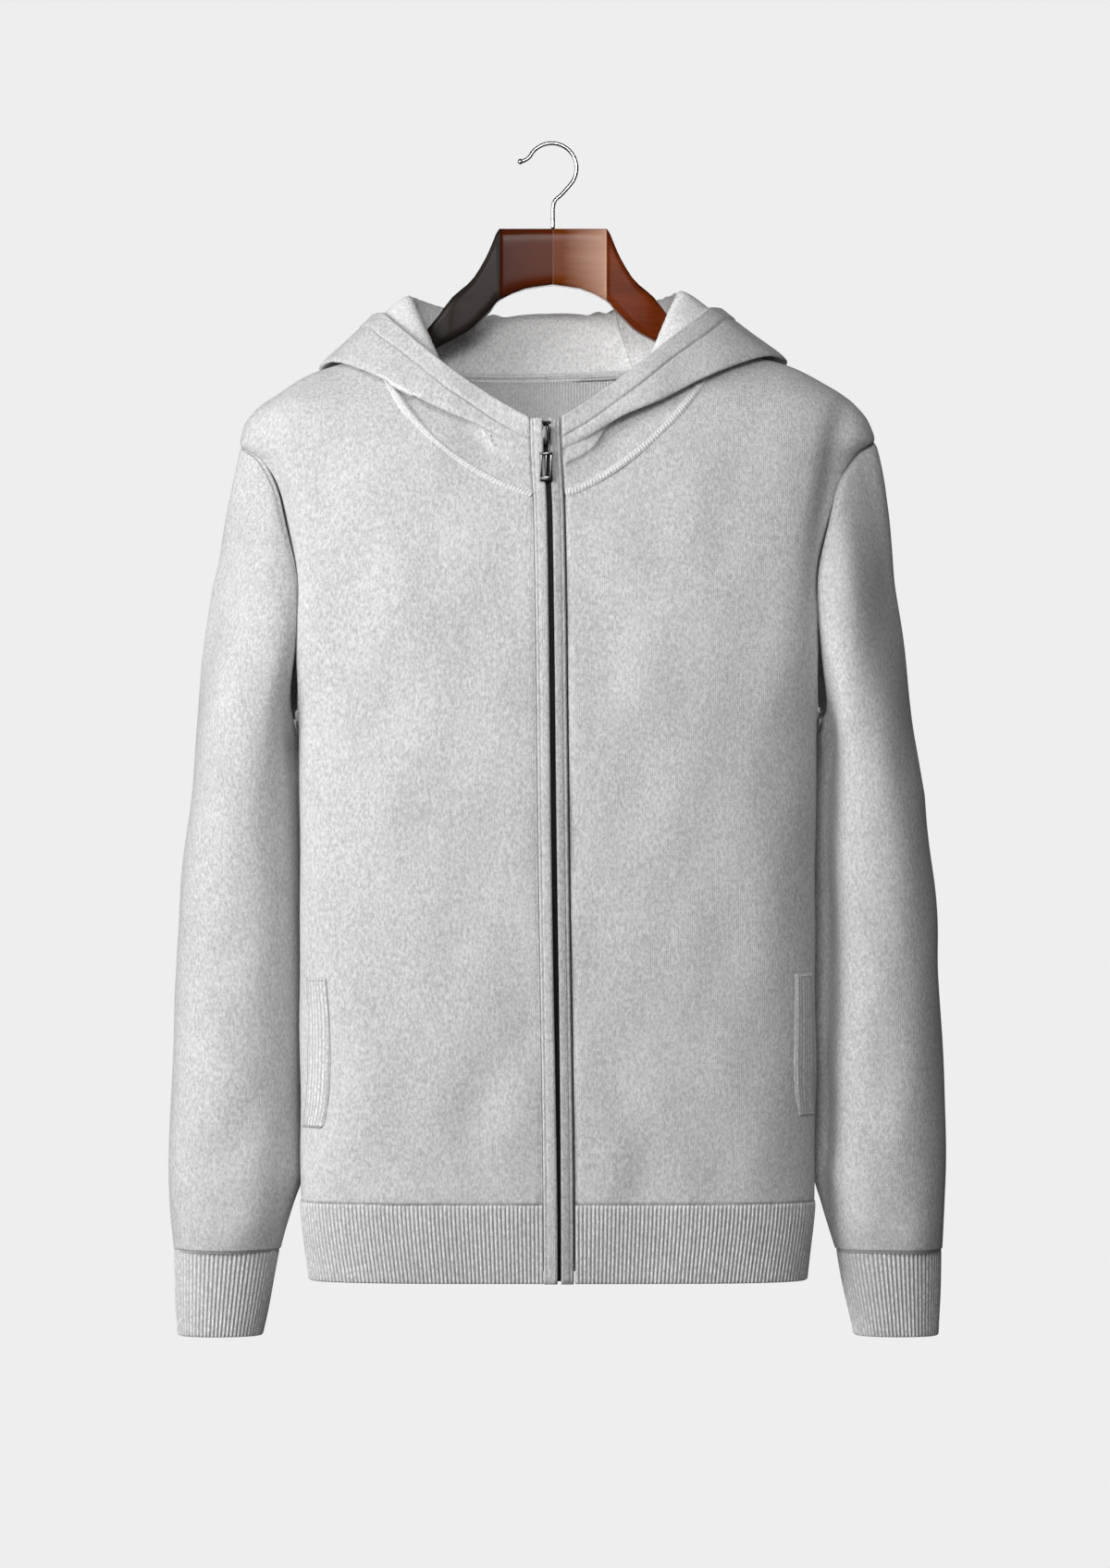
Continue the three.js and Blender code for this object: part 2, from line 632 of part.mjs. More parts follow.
for (const { name, sign } of sides) {
  addMesh(`sleeve_${name}`, clothWall(onSide(sign, sleeveGrid()), true), knit());
  const vertexAt = (share, level) => (sign > 0 ? cuffAt(share, level) : mirrored(cuffAt(share, level)));
  addMesh(`cuff_${name}`, ribbedBand(cuffRibs, [1, 0], vertexAt, true), rib());
}

// Hood
const hoodRidge = pointColumn(hoodStations, "at", "ridge");
const hoodFold = pointColumn(hoodStations, "at", "fold");
const hoodEdge = pointColumn(hoodStations, "at", "edge");
const ridgeTurn = named(hoodStations, "at", "ridgeTurn");
const foldTurn = named(hoodStations, "at", "foldTurn");
const neckSeam = [
  ...neckline.front.map((at) => bodyVertex("front", at.x, at.y)),
  ...[...neckline.back].reverse().slice(1).map((at) => bodyVertex("back", at.x, at.y)),
];
const middleBack = neckSeam.length - 1;

function neckSeamAt(at) {
  const i = Math.min(middleBack - 1, Math.floor(at));
  const t = at - i;
  return {
    point: neckSeam[i].point.clone().lerp(neckSeam[i + 1].point, t),
    normal: neckSeam[i].normal.clone().lerp(neckSeam[i + 1].normal, t).normalize(),
  };
}

// The cloth's outer face at one station, as points from the neck seam to the face edge
function hoodProfile(at) {
  if (at > middleBack) return hoodProfile(2 * middleBack - at).map((p) => p.setX(-p.x));
  const seam = neckSeamAt(at).point;
  const ridge = hoodRidge(at);
  const fold = hoodFold(at);
  const out = fold.clone().sub(ridge).setZ(0);
  if (out.length() < 1) out.set(0, -1, 0);
  out.normalize();
  const corners = [
    [seam, 0],
    [ridge.clone().addScaledVector(out, -ridgeTurn(at) / 3), hoodSteps.stand],
    [ridge.clone().addScaledVector(out, (2 * ridgeTurn(at)) / 3), hoodSteps.ridge],
    [fold.clone().addScaledVector(out, -foldTurn(at)), hoodSteps.inner],
    [fold, hoodSteps.fold],
    [hoodEdge(at), hoodSteps.outer],
  ];
  let line = [seam];
  for (let i = 1; i < corners.length; i++) {
    const [to, n] = corners[i];
    const from = corners[i - 1][0];
    for (let k = 1; k <= n; k++) line.push(from.clone().lerp(to, k / n));
  }
  for (let pass = 0; pass < 2; pass++) {
    line = line.map((point, i) => {
      if (i === 0 || i === line.length - 1) return point.clone();
      return point.clone().multiplyScalar(2).add(line[i - 1]).add(line[i + 1]).multiplyScalar(0.25);
    });
  }
  return line;
}

function hoodColumn(at) {
  const nudge = 0.04;
  const here = hoodProfile(at);
  const before = hoodProfile(Math.max(0, at - nudge));
  const after = hoodProfile(at + nudge);
  return here.map((point, k) => {
    const along = here[Math.min(here.length - 1, k + 1)].clone().sub(here[Math.max(0, k - 1)]);
    const round = after[k].clone().sub(before[k]);
    const normal = round.cross(along).normalize();
    if (k === 0 && at <= middleBack) normal.copy(neckSeamAt(at).normal);
    if (k === 0 && at > middleBack) normal.copy(mirrored(neckSeamAt(2 * middleBack - at)).normal);
    if (at === 0) normal.setX(0).normalize();
    return { point, normal };
  });
}

function hoodPanel(from, to) {
  const reach = 0.012; // stations that one seam gap takes up
  const first = from > 0 ? from + reach : from;
  const columns = steps(Math.round(to - from), (share) => {
    return hoodColumn(THREE.MathUtils.lerp(first, to - reach, share));
  });
  const rows = columns[0].map((_, k) => columns.map((line) => line[k]));
  rows[0].forEach(({ point }, c) => {
    point.add(rows[1][c].point.clone().sub(point).setLength(seamGap / 2));
  });
  const bandStart = rows.length - 1 - hoodBand.steps;
  const outer = liftRows(rows, 0);
  const depthAt = (k) => cloth + (k > bandStart ? hoodBand.extra : 0);
  const inner = rows.map((row, k) => row.map((vertex) => lift(vertex, -depthAt(k))));
  return [outer, inner];
}

const gussetStart = middleBack - count.gusset;
const mirrorPoints = (rows) => rows.map((row) => row.map((point) => point.clone().setX(-point.x)));
for (const { name, sign } of sides) {
  const [outer, inner] = hoodPanel(0, gussetStart);
  const place = sign > 0 ? [outer, inner] : [mirrorPoints(outer), mirrorPoints(inner)];
  addMesh(`hood_${name}`, wall(...place, false), knit());
}
addMesh("hood_centre", wall(...hoodPanel(gussetStart, middleBack + count.gusset), false), knit());

// The line of the zip: the depth of the front at each height, up to the top of the zip
const standFoot = neckSeam[0].point;
const standTop = new THREE.Vector3(...hoodStations[0].edge);
function zipDepth(z) {
  if (z <= standFoot.z) return formPoint(-1.53, z).y;
  return THREE.MathUtils.lerp(standFoot.y, standTop.y, (z - standFoot.z) / (standTop.z - standFoot.z));
}

// A bar along the zip line, from a section of [across, behind the front] pairs
function zipBar(section, bottom, top, pieces) {
  const skin = new Skin();
  const rings = steps(pieces, (share) => {
    const z = THREE.MathUtils.lerp(bottom, top, share);
    const ring = section.map(([x, behind]) => new THREE.Vector3(x, zipDepth(z) + behind, z));
    return closeLoop(skin.add(ring));
  });
  for (let i = 0; i < pieces; i++) skin.strip(rings[i], rings[i + 1]);
  const flat = section.map(([x, behind]) => spot(x, behind));
  const way = Math.sign(THREE.ShapeUtils.area(flat));
  for (const face of THREE.ShapeUtils.triangulateShape(flat, [])) {
    const same = Math.sign(THREE.ShapeUtils.area(face.map((i) => flat[i]))) === way;
    const [a, b, c] = same ? face : [...face].reverse();
    skin.faces.push([rings[0][a], rings[0][c], rings[0][b]]);
    skin.faces.push([rings[pieces][a], rings[pieces][b], rings[pieces][c]]);
  }
  return skin.geometry(hang);
}

const placketPieces = 24;
for (const { name, sign } of sides) {
  const near = placketGap * sign;
  const far = (placketGap + placketWidth) * sign;
  const section = [
    [near, 2.4],
    [near, -0.6],
    [near + sign, -1],
    [far - sign, -1],
    [far, -0.6],
    [far, 2.4],
  ];
  const turned = sign > 0 ? section : section.reverse();
  addMesh(`placket_${name}`, zipBar(turned, hemZ, zipTopZ, placketPieces), knit());
}
const tapeHalf = 10.6;
const chainHalf = 1.9;
const zipSection = [
  [-tapeHalf, 3.6],
  [-tapeHalf, 2.7],
  [-chainHalf, 2.7],
  [-chainHalf, 0.6],
  [chainHalf, 0.6],
  [chainHalf, 2.7],
  [tapeHalf, 2.7],
  [tapeHalf, 3.6],
];
addMesh("zip", zipBar(zipSection, hemZ + 2, zipTopZ - 2, placketPieces), tape());

// Welts of the pockets, from the points of the front panel, moved out
function weltGrid() {
  const heights = frontGrid.map((row) => row[Math.floor(welt.columns[0])].point.z);
  const rowAt = (z) => {
    const r = heights.findIndex((_, i) => heights[i + 1] > z);
    return r + (z - heights[r]) / (heights[r + 1] - heights[r]);
  };
  const [low, high] = [rowAt(welt.bottom), rowAt(welt.top)];
  const between = heights.map((_, r) => r).filter((r) => r > low && r < high);
  const blend = (a, b, share) => ({
    point: a.point.clone().lerp(b.point, share),
    normal: a.normal.clone().lerp(b.normal, share).normalize(),
  });
  return [low, ...between, high].map((at) =>
    welt.columns.map((across) => {
      const [r, c] = [Math.floor(at), Math.floor(across)];
      const line = (row) => blend(frontGrid[row][c], frontGrid[row][c + 1], across - c);
      return blend(line(r), line(r + 1), at - r);
    }),
  );
}

for (const { name, sign } of sides) {
  const grid = onSide(sign, weltGrid());
  const [outer, inner] = [liftRows(grid, welt.clear + welt.thick), liftRows(grid, welt.clear)];
  addMesh(`pocket_welt_${name}`, wall(outer, inner, false), rib());
}

// Hanger: two wooden arms that meet in the middle, each a loft of rounded upright sections
const hangerSize = Object.fromEntries(
  ["top", "bottom", "half"].map((name) => [name, named(hangerRows, "x", name)]),
);

// The cloth's inner face over the hanger, as chains of points from the ridge of the shoulder down
function underCloth(grid, sign) {
  const rows = onSide(sign, grid).slice(-5).reverse();
  return rows.map((row) =>
    row.map((vertex) => {
      const inside = hang(lift(vertex, -cloth));
      return inside.addScaledVector(vertex.normal, -hanger.under);
    }),
  );
}

function crossAt(row, x) {
  const c = row.slice(1).findIndex((point, i) => (row[i].x - x) * (point.x - x) <= 0);
  if (c < 0) return null;
  return row[c].clone().lerp(row[c + 1], (x - row[c].x) / (row[c + 1].x - row[c].x));
}

// Half the room inside the cloth at one place on the hanger
function roomAt(chain, z) {
  if (z >= chain[0].z) return 0;
  for (let i = 1; i < chain.length; i++) {
    if (z < chain[i].z) continue;
    const t = (z - chain[i].z) / (chain[i - 1].z - chain[i].z);
    return Math.abs(THREE.MathUtils.lerp(chain[i].y, chain[i - 1].y, t));
  }
  return Math.abs(chain.at(-1).y);
}

function hangerArm(sign) {
  const skin = new Skin();
  const around = 16;
  const front = underCloth(frontGrid, sign);
  const back = underCloth(backGrid.map((row) => row.slice((row.length - 1) / 2)), sign);
  const rings = hangerRows.map(({ x: station }) => {
    const x = sign * Math.max(station, hanger.jointGap / 2);
    const chains = [front, back].map((rows) => rows.map((row) => crossAt(row, x)).filter(Boolean));
    const covered = chains[0].length > 1 && Math.abs(x) > halfNeck;
    const top = Math.min(hangerSize.top(station), covered ? Math.min(chains[0][0].z, chains[1][0].z) : 0);
    const bottom = hangerSize.bottom(station);
    const half = hangerSize.half(station);
    const power = station < 42 ? 7 : 2.6;
    const ring = steps(around, (share) => {
      const turn = 2 * Math.PI * share;
      const c = Math.cos(turn);
      const s = Math.sin(turn);
      const r = (Math.abs(c) ** power + Math.abs(s) ** power) ** (-1 / power);
      const z = (top + bottom) / 2 + ((top - bottom) / 2) * r * s;
      const room = (chain) => (covered ? roomAt(chain, z) : half);
      const y = THREE.MathUtils.clamp(half * r * c, -room(chains[0]), room(chains[1]));
      return new THREE.Vector3(x, y, z);
    }).slice(0, -1);
    return skin.add(ring);
  });
  for (let i = 0; i < rings.length - 1; i++) skin.strip(closeLoop(rings[i]), closeLoop(rings[i + 1]));
  skin.fan(rings[0], true);
  skin.fan(rings.at(-1), false);
  return skin.geometry((point) => point.clone());
}

for (const { name, sign } of sides) addMesh(`hanger_arm_${name}`, hangerArm(sign), wood());

function asManifold(geometry) {
  const bare = geometry.index ? geometry.clone() : geometry;
  bare.deleteAttribute("normal");
  bare.deleteAttribute("uv");
  const merged = mergeVertices(bare, 1e-4);
  const triVerts = new Uint32Array(merged.index.array);
  const vertProperties = new Float32Array(merged.attributes.position.array);
  return new wasm.Manifold(new wasm.Mesh({ numProp: 3, vertProperties, triVerts }));
}

function joined(geometries) {
  const whole = geometries.map(asManifold).reduce((sum, piece) => sum.add(piece));
  const mesh = whole.getMesh();
  const made = new THREE.BufferGeometry();
  made.setAttribute("position", new THREE.BufferAttribute(mesh.vertProperties, 3));
  made.setIndex(new THREE.BufferAttribute(mesh.triVerts, 1));
  made.computeVertexNormals();
  return made;
}

// Hook: a round bend, a straight stem and a ball on the tip
function hookPath() {
  const points = [[-24, -12], [-21.5, -11.4]];
  for (let degrees = 154; degrees >= -42; degrees -= 14) {
    const turn = THREE.MathUtils.degToRad(degrees);
    points.push([hook.middleX + hook.radius * Math.cos(turn), hook.middleZ + hook.radius * Math.sin(turn)]);
  }
  points.push([6.5, -36], [1.6, -40.5], [0, -46], [0, -54], [0, hook.stemEnd]);
  const path = points.map(([x, z]) => new THREE.Vector3(x, 0, z));
  return new THREE.CatmullRomCurve3(path, false, "centripetal");
}

function circleShape(radius, sidesOfIt) {
  return new THREE.Shape(
    steps(sidesOfIt, (share) => {
      const turn = 2 * Math.PI * share;
      return new THREE.Vector2(radius * Math.cos(turn), radius * Math.sin(turn));
    }).slice(0, -1),
  );
}

const hookWire = new THREE.ExtrudeGeometry(circleShape(hook.wire, 8), {
  steps: 30,
  bevelEnabled: false,
  extrudePath: hookPath(),
});
const hookBall = new THREE.SphereGeometry(hook.ball, 10, 6).translate(-24, 0, -12);
addMesh("hanger_hook", joined([hookWire, hookBall]), chrome());

// Zip slider with its bail, and the pull that hangs from the bail
const box = (w, d, h, x, y, z) => new THREE.BoxGeometry(w, d, h).translate(x, y, z);
const sliderAt = hang(new THREE.Vector3(0, zipDepth(slider.z), slider.z));
const plateFront = sliderAt.y - slider.clear - slider.plate;
const bailFront = plateFront - bail.inside;
const bailTop = sliderAt.z + bail.height / 2;
const bailFoot = sliderAt.z - bail.height / 2;
function sliderGeometry() {
  const { x, y, z } = sliderAt;
  const { band, width } = bail;
  const foot = (level) => box(width, bail.inside + bail.sunk, band, x, (plateFront + bailFront) / 2, level);
  return joined([
    box(slider.width, slider.plate, slider.height, x, plateFront + slider.plate / 2, z),
    box(...slider.post, x, y - 1, z),
    box(width, band, bail.height, x, bailFront - band / 2, z),
    foot(bailTop - band / 2),
    foot(bailFoot + band / 2),
  ]);
}
addMesh("zip_slider", sliderGeometry(), darkMetal());

// The pull's top bar lies in the bail, just above the bail's lower foot
const pullAxisZ = bailFoot + bail.band + pull.play + pull.bar / 2;
const pullAxisY = plateFront - bail.inside / 2;
function pullGeometry() {
  const { bar, thick, width, length, tabLength } = pull;
  const { half, side, sunk } = pullNeck;
  const x = sliderAt.x;
  const high = pullAxisZ + bar / 2;
  const tabTop = pullAxisZ - (length - tabLength);
  const neckFoot = tabTop - sunk;
  const piece = (w, d, h, across, z) => box(w, d, h, x + across, pullAxisY, z);
  return joined([
    piece(half * 2, bar, bar, 0, pullAxisZ),
    ...[-1, 1].map((s) => piece(side, bar, high - neckFoot, s * (half - side / 2), (high + neckFoot) / 2)),
    ...[-1, 1].map((s) => {
      const across = (s * (width - pullFrame.side)) / 2;
      return piece(pullFrame.side, thick, tabLength, across, tabTop - tabLength / 2);
    }),
    piece(width, thick, pullFrame.top, 0, tabTop - pullFrame.top / 2),
    piece(width, thick, pullFrame.foot, 0, tabTop - tabLength + pullFrame.foot / 2),
  ]);
}
addMesh("zip_pull", pullGeometry(), darkMetal());

export default model;
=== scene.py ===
# %% [markdown]
# # A knitted zip hoodie on its wooden hanger
# The garment is light grey knit cloth, cut in panels and linked together, hung closed on a glossy
# wooden hanger. Every panel here is one grid of points laid over the form of the hanging garment,
# then given the thickness of the cloth. That keeps the seams where the cutter put them.
#
# All shapes are worked out in millimetres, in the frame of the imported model, and become metres
# when a mesh is made.

# %% Load the frame
import math

import bmesh
import bpy
import numpy as np
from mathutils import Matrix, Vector


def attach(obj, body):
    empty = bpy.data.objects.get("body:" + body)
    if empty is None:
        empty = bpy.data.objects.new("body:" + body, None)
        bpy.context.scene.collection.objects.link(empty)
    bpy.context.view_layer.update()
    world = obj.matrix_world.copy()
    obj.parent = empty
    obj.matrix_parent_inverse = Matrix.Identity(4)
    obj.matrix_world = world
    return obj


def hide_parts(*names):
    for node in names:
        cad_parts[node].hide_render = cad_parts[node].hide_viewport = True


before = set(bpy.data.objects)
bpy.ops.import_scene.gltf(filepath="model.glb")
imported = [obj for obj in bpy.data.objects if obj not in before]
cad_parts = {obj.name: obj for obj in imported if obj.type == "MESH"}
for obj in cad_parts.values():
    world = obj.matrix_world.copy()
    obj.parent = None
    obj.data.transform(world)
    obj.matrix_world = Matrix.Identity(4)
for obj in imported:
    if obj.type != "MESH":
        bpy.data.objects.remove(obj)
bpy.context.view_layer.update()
GARMENT = "garment"
PULL = "pull"

# %% [markdown]
# ## The camera
# The photograph is taken from straight in front and from far away, so its lines stay parallel.
# A long lens at four metres does the same. The frame is 1152.6 mm tall at the hanger.

# %% Camera
FRAME_HEIGHT = 1.1526
CAMERA_DISTANCE = 4.0
camera_data = bpy.data.cameras.new("camera")
camera_data.sensor_width = 36
camera_data.lens = camera_data.sensor_width * CAMERA_DISTANCE / FRAME_HEIGHT
camera = bpy.data.objects.new("camera", camera_data)
camera.location = (0.0014, -CAMERA_DISTANCE, -0.4695)
camera.rotation_euler = (math.pi / 2, 0, 0)
bpy.context.collection.objects.link(camera)
bpy.context.scene.camera = camera
print("lens", round(camera_data.lens, 1), "mm")

# %% [markdown]
# ## Curves through tables
# A garment's form is easiest to read as a short table: how wide and how deep it is at each height.
# A curve that is monotone between rows passes through the table without swinging past it.


# %% Curves
def curve_through(xs, ys):
    xs, ys = np.array(xs, float), np.array(ys, float)
    secants = np.diff(ys) / np.diff(xs)
    slopes = np.empty_like(ys)
    slopes[0], slopes[-1] = secants[0], secants[-1]
    before, after = secants[:-1], secants[1:]
    same_way = before * after > 0
    total = np.where(same_way, before + after, 1)
    slopes[1:-1] = np.where(same_way, 2 * before * after / total, 0)

    def at(x):
        x = np.clip(x, xs[0], xs[-1])
        i = np.clip(np.searchsorted(xs, x, side="right") - 1, 0, len(xs) - 2)
        step = xs[i + 1] - xs[i]
        t = (x - xs[i]) / step
        rise = t * t * (3 - 2 * t)
        swing = t * (1 - t) * ((1 - t) * slopes[i] - t * slopes[i + 1]) * step
        return ys[i] * (1 - rise) + ys[i + 1] * rise + swing

    return at


def table_curves(rows):
    """One curve through each column of a table, by the first column, which may rise or fall."""
    rows = np.array(rows, float)
    rows = rows[rows[:, 0].argsort()]
    return [curve_through(rows[:, 0], column) for column in rows.T[1:]]


def smooth_step(x, low, high):
    t = np.clip((x - low) / (high - low), 0, 1)
    return t * t * (3 - 2 * t)


def mix(a, b, t):
    return a * (1 - t) + b * t


def unit(vectors):
    return vectors / np.linalg.norm(vectors, axis=-1, keepdims=True)


def run_along(points, axis=0):
    """How far each point lies along its line of points, measured from the line's first point."""
    steps = np.linalg.norm(np.diff(points, axis=axis), axis=-1)
    start = np.zeros_like(np.take(steps, [0], axis=axis))
    return np.cumsum(np.concatenate([start, steps], axis=axis), axis=axis)


# %% [markdown]
# ## The form of the body
# Level sections are rounded rectangles. Each row gives the drop from the neck point, half the width,
# the depths to the front and back, how square the section is, and how far its side is drawn in.

# %% Body form
NECK_Z, HEM_Z, HEM_SEAM_Z = -150.0, -832.0, -774.0
TIP_Z, UNDERARM_Z, FRONT_NECK_Z, ZIP_TOP_Z = -220.0, -430.0, -262.0, -205.0
ARMHOLE_DEPTH, HALF_NECK, PANEL_EDGE = 210.0, 124.0, 11.6
CLOTH = 2.4
body_rows = [
    (0, 124, 16, 20, 2.2, 0), (15, 176, 33, 34, 2.2, 0), (29, 201, 43, 43, 2.3, 0),
    (42, 220, 50, 49, 2.4, 0), (56, 229, 55, 53, 2.4, 0), (70, 232, 59, 56, 2.4, 0),
    (80, 223, 62, 58, 2.5, 0), (100, 217, 66, 61, 2.6, 0), (130, 214, 70, 64, 2.8, 0),
    (170, 207, 75, 67, 3, 0.02), (215, 203, 79, 69, 3.1, 0.045), (280, 191.5, 81, 70, 3.2, 0.065),
    (400, 191, 80, 68, 3.3, 0.07), (520, 191, 75, 63, 3.4, 0.065), (624, 189.6, 66, 54, 3.6, 0.04),
    (682, 183, 58, 48, 3.8, 0.03),
]
body_curves = table_curves(body_rows)


def form_point(angle, z):
    """A point of the form: -90 degrees is the centre front, 0 the side and 90 the centre back."""
    angle, z = np.broadcast_arrays(angle, z)
    half, front, back, power, tuck = (curve(NECK_Z - z) for curve in body_curves)
    c = np.maximum(0, np.cos(angle))
    s = np.abs(np.sin(angle))
    r = (c**power + s**power) ** (-1 / power)
    y = np.where(angle < 0, -front * r * s, back * r * s)
    drawn_in = 1 - tuck * smooth_step(y, -45, 60)
    return np.stack([half * r * c * drawn_in, y, z + 0.0], axis=-1)


def level_arc(face, z):
    """Angles, points and distances round one or more levels, from the centre line to the side."""
    sign = -1 if face == "front" else 1
    angles = sign * np.pi / 2 * (1 - np.linspace(0, 1, 73))
    points = form_point(angles[None, :], np.atleast_1d(z)[:, None])
    return angles, points, run_along(points, 1)


def look_up(readings, values, wanted):
    """For each row, the value where its rising readings reach the wanted number."""
    wanted = np.atleast_1d(wanted)[:, None]
    i = np.clip((readings < wanted).sum(axis=1), 1, readings.shape[1] - 1)
    row = np.arange(len(readings))
    low, high = readings[row, i - 1], readings[row, i]
    t = np.clip((wanted[:, 0] - low) / np.where(high > low, high - low, 1), 0, 1)
    values = np.broadcast_to(values, readings.shape)
    return mix(values[row, i - 1], values[row, i], t)


def girth(face, z):
    return level_arc(face, z)[2][:, -1]


def across_at_x(face, x, z):
    _, points, lengths = level_arc(face, z)
    return look_up(points[..., 0], lengths, x)


def across_at_depth(face, depth, z):
    _, points, lengths = level_arc(face, z)
    return look_up(-np.abs(points[..., 1]), lengths, -depth)


def on_form(face, cut):
    """Points of the form from places in the flat pattern: across from the centre line, and height."""
    across, z = cut[..., 0].ravel(), cut[..., 1].ravel()
    angles, _, lengths = level_arc(face, z)
    angle = look_up(lengths, angles[None, :], across)
    return form_point(angle, z).reshape(*cut.shape[:-1], 3)


print("girth at the chest", round(2 * (girth("front", -400)[0] + girth("back", -400)[0])), "mm")

# %% [markdown]
# ## The seam lines
# The neckline, armhole and shoulder are drawn in the flat pattern, as a cutter draws them, and
# measured off evenly along their length. A front panel is then filled in between its four edges.


# %% Seam lines
def evenly(spots):
    lengths = run_along(spots)

    def at(share):
        far = np.asarray(share) * lengths[-1]
        return np.stack([np.interp(far, lengths, spots[:, i]) for i in (0, 1)], axis=-1)

    return at


def neckline_spots(face):
    drop, power, nearest = (112, 1.5, PANEL_EDGE) if face == "front" else (18, 2.4, 0)
    start = 2 / np.pi * math.asin((nearest / HALF_NECK) ** (power / 2))
    turn = np.linspace(start, 1, 240) * np.pi / 2
    x = np.maximum(nearest, HALF_NECK * np.sin(turn) ** (2 / power))
    z = NECK_Z - drop * np.maximum(0, np.cos(turn)) ** (2 / power)
    across = across_at_x(face, x, z)
    across[-1] = girth(face, NECK_Z)[0]
    return np.stack([across, z], axis=-1)


def armhole_spots(face):
    turn = (1 - np.linspace(0, 1, 240)) * np.pi
    z = TIP_Z - ARMHOLE_DEPTH * (1 - np.cos(turn)) / 2
    depth = (46 if face == "front" else 44) * np.sin(turn) * (1 - 0.25 * np.cos(turn))
    return np.stack([across_at_depth(face, np.maximum(0, depth), z), z], axis=-1)


def straight_spots(face, low, high):
    z = np.linspace(low, high, 120)
    return np.stack([girth(face, z), z], axis=-1)


neckline, armhole, shoulder, side_seam = {}, {}, {}, {}
for face in ("front", "back"):
    neckline[face] = evenly(neckline_spots(face))
    armhole[face] = evenly(armhole_spots(face))
    shoulder[face] = evenly(straight_spots(face, NECK_Z, TIP_Z))
    side_seam[face] = evenly(straight_spots(face, HEM_SEAM_Z, UNDERARM_Z))


def one_after(first, second, change):
    """Follows one line up to a share of the way, then the other."""

    def at(share):
        share = np.asarray(share, float)
        on_first = first(np.clip(share / change, 0, 1))
        on_second = second(np.clip((share - change) / (1 - change), 0, 1))
        return np.where((share < change)[..., None], on_first, on_second)

    return at


def between(start, end):
    start, end = np.asarray(start, float), np.asarray(end, float)
    return lambda share: start + (end - start) * np.asarray(share, float)[..., None]


def fill_patch(bottom, top, inner, outer, us, vs):
    u, v = us[None, :, None], vs[:, None, None]
    blend = (1 - v) * bottom(us)[None] + v * top(us)[None]
    blend = blend + (1 - u) * inner(vs)[:, None] + u * outer(vs)[:, None]
    low = (1 - u) * bottom(np.array(0.0)) + u * bottom(np.array(1.0))
    high = (1 - u) * top(np.array(0.0)) + u * top(np.array(1.0))
    return blend - (1 - v) * low - v * high


def stations(n, near_edge=(0, 0.0035, 0.008, 0.0135, 0.021)):
    """Even steps with a few closer ones by both edges, where the cloth dips into its seams."""
    near = np.array(near_edge)
    return np.concatenate([near, np.linspace(0.032, 0.968, n - 9), 1 - near[::-1]])


def body_edges(face):
    outer = one_after(side_seam[face], armhole[face], 8 / 17)
    far = girth(face, HEM_SEAM_Z)[0]
    if face == "front":
        bottom = between((PANEL_EDGE, HEM_SEAM_Z), (far, HEM_SEAM_Z))
        start = neckline["front"](np.array(0.0))
        inner = one_after(between((PANEL_EDGE, HEM_SEAM_Z), start), neckline["front"], 10 / 17)
        return bottom, shoulder["front"], inner, outer
    bottom = between((0, HEM_SEAM_Z), (far, HEM_SEAM_Z))
    top = one_after(neckline["back"], shoulder["back"], 0.5)
    inner = between((0, HEM_SEAM_Z), (0, NECK_Z - 18))
    return bottom, top, inner, outer


# %% [markdown]
# ## How it hangs
# Nothing hangs quite true: the zip drifts across by a few millimetres and one shoulder is higher.
# Both are moves of whole points, so that neighbouring panels still meet. Each row of the first
# table is a height, the drift of the zip and of the sides there, and the lift of the left side.

# %% Hang
hang_rows = [
    (-874, 4.6, 3.4, 0), (-832, 4.6, 3.4, 0), (-505, 0.6, 3.4, 1),
    (-277, -2.3, 3.4, 2), (-205, -5.2, 2, 2.2), (-100, -4.5, 0, 2.2),
]
zip_drift, side_drift, tilt = table_curves(hang_rows)
SIDE_X = 190


def hang(points):
    x, y, z = points[..., 0], points[..., 1], points[..., 2]
    outwards = smooth_step(np.abs(x), 0, SIDE_X)
    neck = np.sin(np.pi * np.minimum(1, np.abs(x) / 200)) ** 2
    neck_drift = -4 * neck * smooth_step(z, -330, -262)
    drift = mix(zip_drift(z), side_drift(z), outwards) + neck_drift
    return np.stack([x + drift, y, z + tilt(z) * np.tanh(x / 90)], axis=-1)


# The tips of the shoulders stand a little wider than the pattern, and the upper arms a little
# slimmer. Each row is a height and how far the right and the left outline move out.
shoulder_rows = [
    (-478, 0, 0), (-451, 0, -2.7), (-424, 0, -4.4), (-375, 0, -5.2), (-328, 0, -5.4), (-301, -2.2, -4),
    (-262, -1.6, -1.5), (-250, -1, 0), (-233, -0.5, 2), (-220, 1, 3), (-206, 1.5, 2), (-192, 1, 0.5),
    (-180, 0, 0),
]
widen_right, widen_left = table_curves(shoulder_rows)
print("the zip drifts from", round(zip_drift(ZIP_TOP_Z), 1), "to", round(zip_drift(HEM_Z), 1), "mm")


def shoulders(points):
    """Moves the outer cloth sideways, by height, so that each arm keeps its own outline."""
    x, z = points[..., 0], np.clip(points[..., 2], -478, -180)
    amount = np.where(x < 0, -widen_right(z), widen_left(z)) * smooth_step(np.abs(x), 206, 238)
    return points + amount[..., None] * np.array([1.0, 0, 0])


def mirrored(points):
    """The other side of the garment. The columns turn round too, so the faces still point out."""
    return (points * ([-1.0] + [1.0] * (points.shape[-1] - 1)))[:, ::-1]


